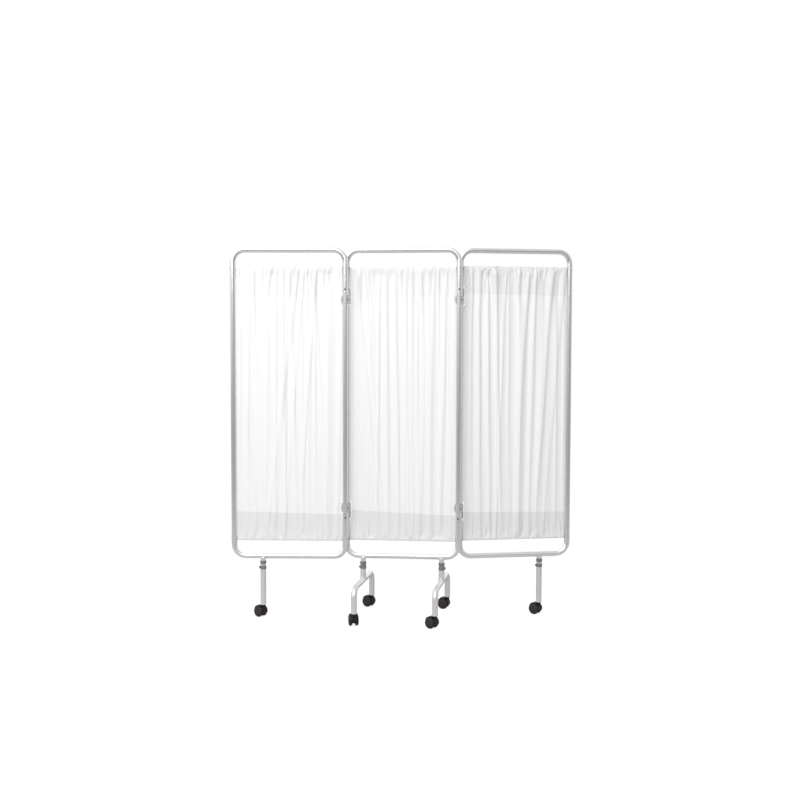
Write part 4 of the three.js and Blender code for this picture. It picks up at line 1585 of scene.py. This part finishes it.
@dataclass
class Studio:
    """The floor, the light and the camera."""

    lens: float = 47.09
    eye: tuple[float, float, float] = (0.4139, -4.6147, 1.2335)
    yaw: float = -5.27
    pitch: float = 3.18
    roll: float = 0.12
    sky: float = 0.695
    key: float = 62.5
    key_place: tuple[float, float, float] = (-1.0, -2.8, 2.8)
    key_size: Point = (2.4, 2.0)
    floor_half: float = 30.0
    floor_tone: float = 0.72
    floor_glow: float = 0.8
    floor_shade: float = 0.32
    dark_front: float = 0.5
    dark_side: float = 0.6
    open_room: float = 0.9
    overhead: float = 1.25
    floor_front: Point = (-2.2, -0.3)
    front_arc: Point = (-0.95, -0.3)
    above_arc: Point = (0.04, 0.14)
    side_arc: Point = (0.28, 0.48)
    behind_arc: Point = (0.1, 0.4)

    def build(self, layout: Layout) -> None:
        """Builds the studio.

        Args:
            layout: Where the centre panel stands.
        """
        self.add_floor()
        self.add_world()
        self.add_lamp()
        self.add_camera(layout.panel(Side.CENTRE))

    def shown(self, nodes: Nodes) -> bpy.types.NodeSocket:
        """Gives 1 for rays that show the surroundings, straight or through something."""
        rays = nodes.add("ShaderNodeLightPath").outputs
        return nodes.math("MAXIMUM", rays["Is Camera Ray"], rays["Is Transmission Ray"])

    def add_floor(self) -> None:
        """Adds a plain pale floor that shows white and keeps soft shadows."""
        shell = Shell()
        half = self.floor_half
        shell.prism([(-half, -half), (half, -half), (half, half), (-half, half)], -0.02, 0.0)
        material, nodes = fresh_material("pale_floor")
        place = nodes.add("ShaderNodeTexCoord").outputs["Object"]
        cloud = nodes.add("ShaderNodeTexNoise", {"Vector": place, "Scale": 0.6})
        tone, lighter = self.floor_tone, self.floor_tone + 0.01
        tint = nodes.mix(cloud.outputs["Fac"], (tone, tone, tone, 1), (lighter, lighter, lighter, 1))
        rays = nodes.add("ShaderNodeLightPath").outputs
        ahead = nodes.add("ShaderNodeSeparateXYZ", {"Vector": place}).outputs["Y"]
        front = self.ramp(nodes, ahead, self.floor_front, (1.0, 0.0))
        dim = nodes.math("MULTIPLY", front, rays["Is Glossy Ray"])
        dark = self.dark_front
        room = nodes.mix(dim, tint, (dark, dark, dark, 1))
        plain = nodes.add("ShaderNodeBsdfDiffuse", {"Color": room})
        shade = self.floor_shade
        soft = nodes.add("ShaderNodeBsdfDiffuse", {"Color": (shade, shade, shade, 1)})
        glow = nodes.add("ShaderNodeEmission", {"Color": (1, 1, 1, 1), "Strength": self.floor_glow})
        white = nodes.add("ShaderNodeAddShader", {0: soft.outputs[0], 1: glow.outputs[0]})
        mixed = nodes.add("ShaderNodeMixShader", {
            "Fac": self.shown(nodes), 1: plain.outputs[0], 2: white.outputs[0]})
        nodes.add("ShaderNodeOutputMaterial", {"Surface": mixed.outputs[0]})
        floor = shell.piece("studio_floor", THREAD)
        floor.data.materials.clear()
        floor.data.materials.append(material)

    def ramp(self, nodes: Nodes, value: bpy.types.NodeSocket, given: Point,
             wanted: Point) -> bpy.types.NodeSocket:
        """Maps a given range of a value softly onto the wanted one."""
        return nodes.add("ShaderNodeMapRange", {
            "Value": value, "From Min": given[0], "From Max": given[1], "To Min": wanted[0],
            "To Max": wanted[1]}, interpolation_type="SMOOTHSTEP").outputs[0]

    def add_world(self) -> None:
        """Adds even light that shows white, and a darker room behind the camera for gloss."""
        world = bpy.data.worlds.new("studio_light")
        bpy.context.scene.world = world
        world.use_nodes = True
        nodes = Nodes(world.node_tree)
        way = nodes.add("ShaderNodeTexCoord").outputs["Generated"]
        level = nodes.add("ShaderNodeVectorMath", {0: way, 1: (1, 1, 0)}, operation="MULTIPLY")
        flat = nodes.add("ShaderNodeVectorMath", {0: level.outputs[0]}, operation="NORMALIZE")
        x, y, _ = nodes.add("ShaderNodeSeparateXYZ", {"Vector": flat.outputs[0]}).outputs
        z = nodes.add("ShaderNodeSeparateXYZ", {"Vector": way}).outputs["Z"]
        front = self.ramp(nodes, y, self.front_arc, (self.dark_front, self.open_room))
        above = self.ramp(nodes, z, self.above_arc, (0.0, self.overhead))
        open_front = nodes.math("MAXIMUM", front, above)
        near = self.ramp(nodes, x, self.side_arc, (1.0, self.dark_side))
        behind = self.ramp(nodes, y, self.behind_arc, (0.0, 1.0))
        flag = nodes.math("MAXIMUM", near, behind)
        both = nodes.math("MULTIPLY", open_front, flag)
        light, room, white = (
            nodes.add("ShaderNodeBackground", {"Color": (1, 1, 1, 1), "Strength": strength}).outputs[0]
            for strength in (self.sky, both, 1.0))
        glossy = nodes.add("ShaderNodeLightPath").outputs["Is Glossy Ray"]
        gloss = nodes.add("ShaderNodeMixShader", {"Fac": glossy, 1: light, 2: room})
        mixed = nodes.add("ShaderNodeMixShader", {
            "Fac": self.shown(nodes), 1: gloss.outputs[0], 2: white})
        nodes.add("ShaderNodeOutputWorld", {"Surface": mixed.outputs[0]})

    def add_lamp(self) -> None:
        """Adds one large soft lamp to the front left."""
        lamp = bpy.data.lights.new("soft_box", "AREA")
        lamp.shape = "RECTANGLE"
        lamp.size, lamp.size_y = self.key_size
        lamp.energy = self.key
        holder = show("soft_box", lamp)
        holder.location = self.key_place
        aim = Vector((0.0, 0.0, 1.0)) - holder.location
        holder.rotation_euler = aim.to_track_quat("-Z", "Y").to_euler()

    def add_camera(self, centre: Matrix) -> None:
        """Adds the camera at the photograph's place.

        Args:
            centre: The place of the centre panel.
        """
        yaw, pitch, roll = (math.radians(v) for v in (self.yaw, self.pitch, self.roll))
        ahead = Vector((math.sin(yaw), math.cos(yaw), 0))
        across = Vector((math.cos(yaw), -math.sin(yaw), 0))
        up = Vector((0, 0, 1))
        look = ahead * math.cos(pitch) - up * math.sin(pitch)
        top = up * math.cos(pitch) + ahead * math.sin(pitch)
        right = across * math.cos(roll) + top * math.sin(roll)
        top = top * math.cos(roll) - across * math.sin(roll)
        turn = Matrix((right, top, -look)).transposed().to_4x4()
        camera = bpy.data.cameras.new("camera")
        camera.lens = self.lens
        camera.clip_end = 100
        holder = show("camera", camera)
        holder.matrix_world = Matrix.Translation(centre @ Vector(self.eye)) @ turn
        bpy.context.scene.camera = holder


def dress_nodes(nodes: dict[str, bpy.types.Object]) -> None:
    """Gives the nodes that still show their finish.

    Args:
        nodes: The nodes of the frame.
    """
    for name, node in nodes.items():
        if name.endswith("_axle"):
            for slot in node.material_slots:
                slot.link = "OBJECT"
                slot.material = STEEL.material()


def curtains() -> tuple[Curtain, ...]:
    """Gives the three curtains, with their pleats placed after the photograph."""
    # The top hems' shares of painted shade grow from the left panel to the right one.
    return (
        Curtain(Side.LEFT, 0.4, 31, header=0.009, hem_top=0.121, hem_bottom=0.118, slope_top=0.0,
                slope_bottom=-0.012, seams=(1,), gather_gain=1.25, top_hem_shade=0.2, fold_depth=0.0036, pleats=(
                    Pleat(0.01, 0.17, 0.0018, 0.007), Pleat(0.17, 0.22, 0.002, low=0.9),
                    Pleat(0.56, 0.31, 0.0042, 0.007), Pleat(0.5, 0.37, 0.0038, 0.008),
                    Pleat(0.62, 0.47, 0.003, 0.006), Pleat(0.74, 0.6, 0.0045, 0.0065, low=0.5),
                    Pleat(0.75, 0.86, 0.0026, 0.006), Pleat(0.68, 0.72, 0.0026, 0.005, low=0.9))),
        Curtain(Side.CENTRE, 1.1, 32, header=0.007, hem_top=0.126, hem_bottom=0.119, slope_top=0.0,
                slope_bottom=-0.019, seams=(-1, 1), gather_gain=1.35, top_hem_shade=0.3, fold_depth=0.004,
                pleats=(
                    Pleat(0.055, 0.045, -0.004, 0.007),
                    Pleat(0.09, 0.27, 0.0032, 0.007), Pleat(0.16, 0.31, 0.0022, 0.006),
                    Pleat(0.35, 0.39, 0.0015, low=0.95), Pleat(0.53, 0.56, 0.0021, 0.005),
                    Pleat(0.59, 0.6, 0.002, 0.005), Pleat(0.68, 0.67, 0.0045, 0.0085, sway=0.02),
                    Pleat(0.79, 0.75, 0.002, 0.005, low=0.8), Pleat(0.84, 0.86, 0.0014, 0.005, low=0.9))),
        Curtain(Side.RIGHT, 2.6, 33, header=0.012, hem_top=0.113, hem_bottom=0.118, slope_top=-0.007,
                slope_bottom=-0.008, seams=(-1,), gather_gain=1.95, top_hem_shade=0.58, pleats=(
                    Pleat(0.045, 0.05, -0.004, 0.006),
                    Pleat(0.08, 0.09, 0.0026, 0.005), Pleat(0.16, 0.16, 0.0032, 0.005, low=0.6),
                    Pleat(0.23, 0.24, 0.0038, 0.0055, low=0.5), Pleat(0.31, 0.37, 0.0068, 0.008, low=0.35),
                    Pleat(0.4, 0.33, 0.0026, 0.005), Pleat(0.61, 0.54, 0.0082, 0.01, sway=-0.02),
                    Pleat(0.84, 0.71, 0.0075, 0.012, low=0.3), Pleat(0.69, 0.6, 0.003, 0.007, low=1.05),
                    Pleat(0.96, 0.8, 0.0032, 0.009), Pleat(0.53, 0.52, 0.004, 0.005, high=1.15))))


def main() -> None:
    """Builds the whole screen and its studio."""
    logging.basicConfig(level=logging.INFO, format="%(message)s")
    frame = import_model()
    layout = Layout.read(frame["joints"])
    shop = Workshop()
    bpy.context.scene.view_settings.view_transform = "Standard"
    Studio().build(layout)
    for curtain in curtains():
        TubeFrame(curtain.side).build(layout, shop)
        curtain.build(layout, shop)
    for side in (Side.LEFT, Side.RIGHT):
        HingeClips(side).build(layout, shop)
        SingleLeg(side).build(layout, shop)
        UFoot(side).build(layout, shop)
    dress_nodes(frame["nodes"])
    bpy.context.view_layer.update()


if __name__ == "__main__":
    main()
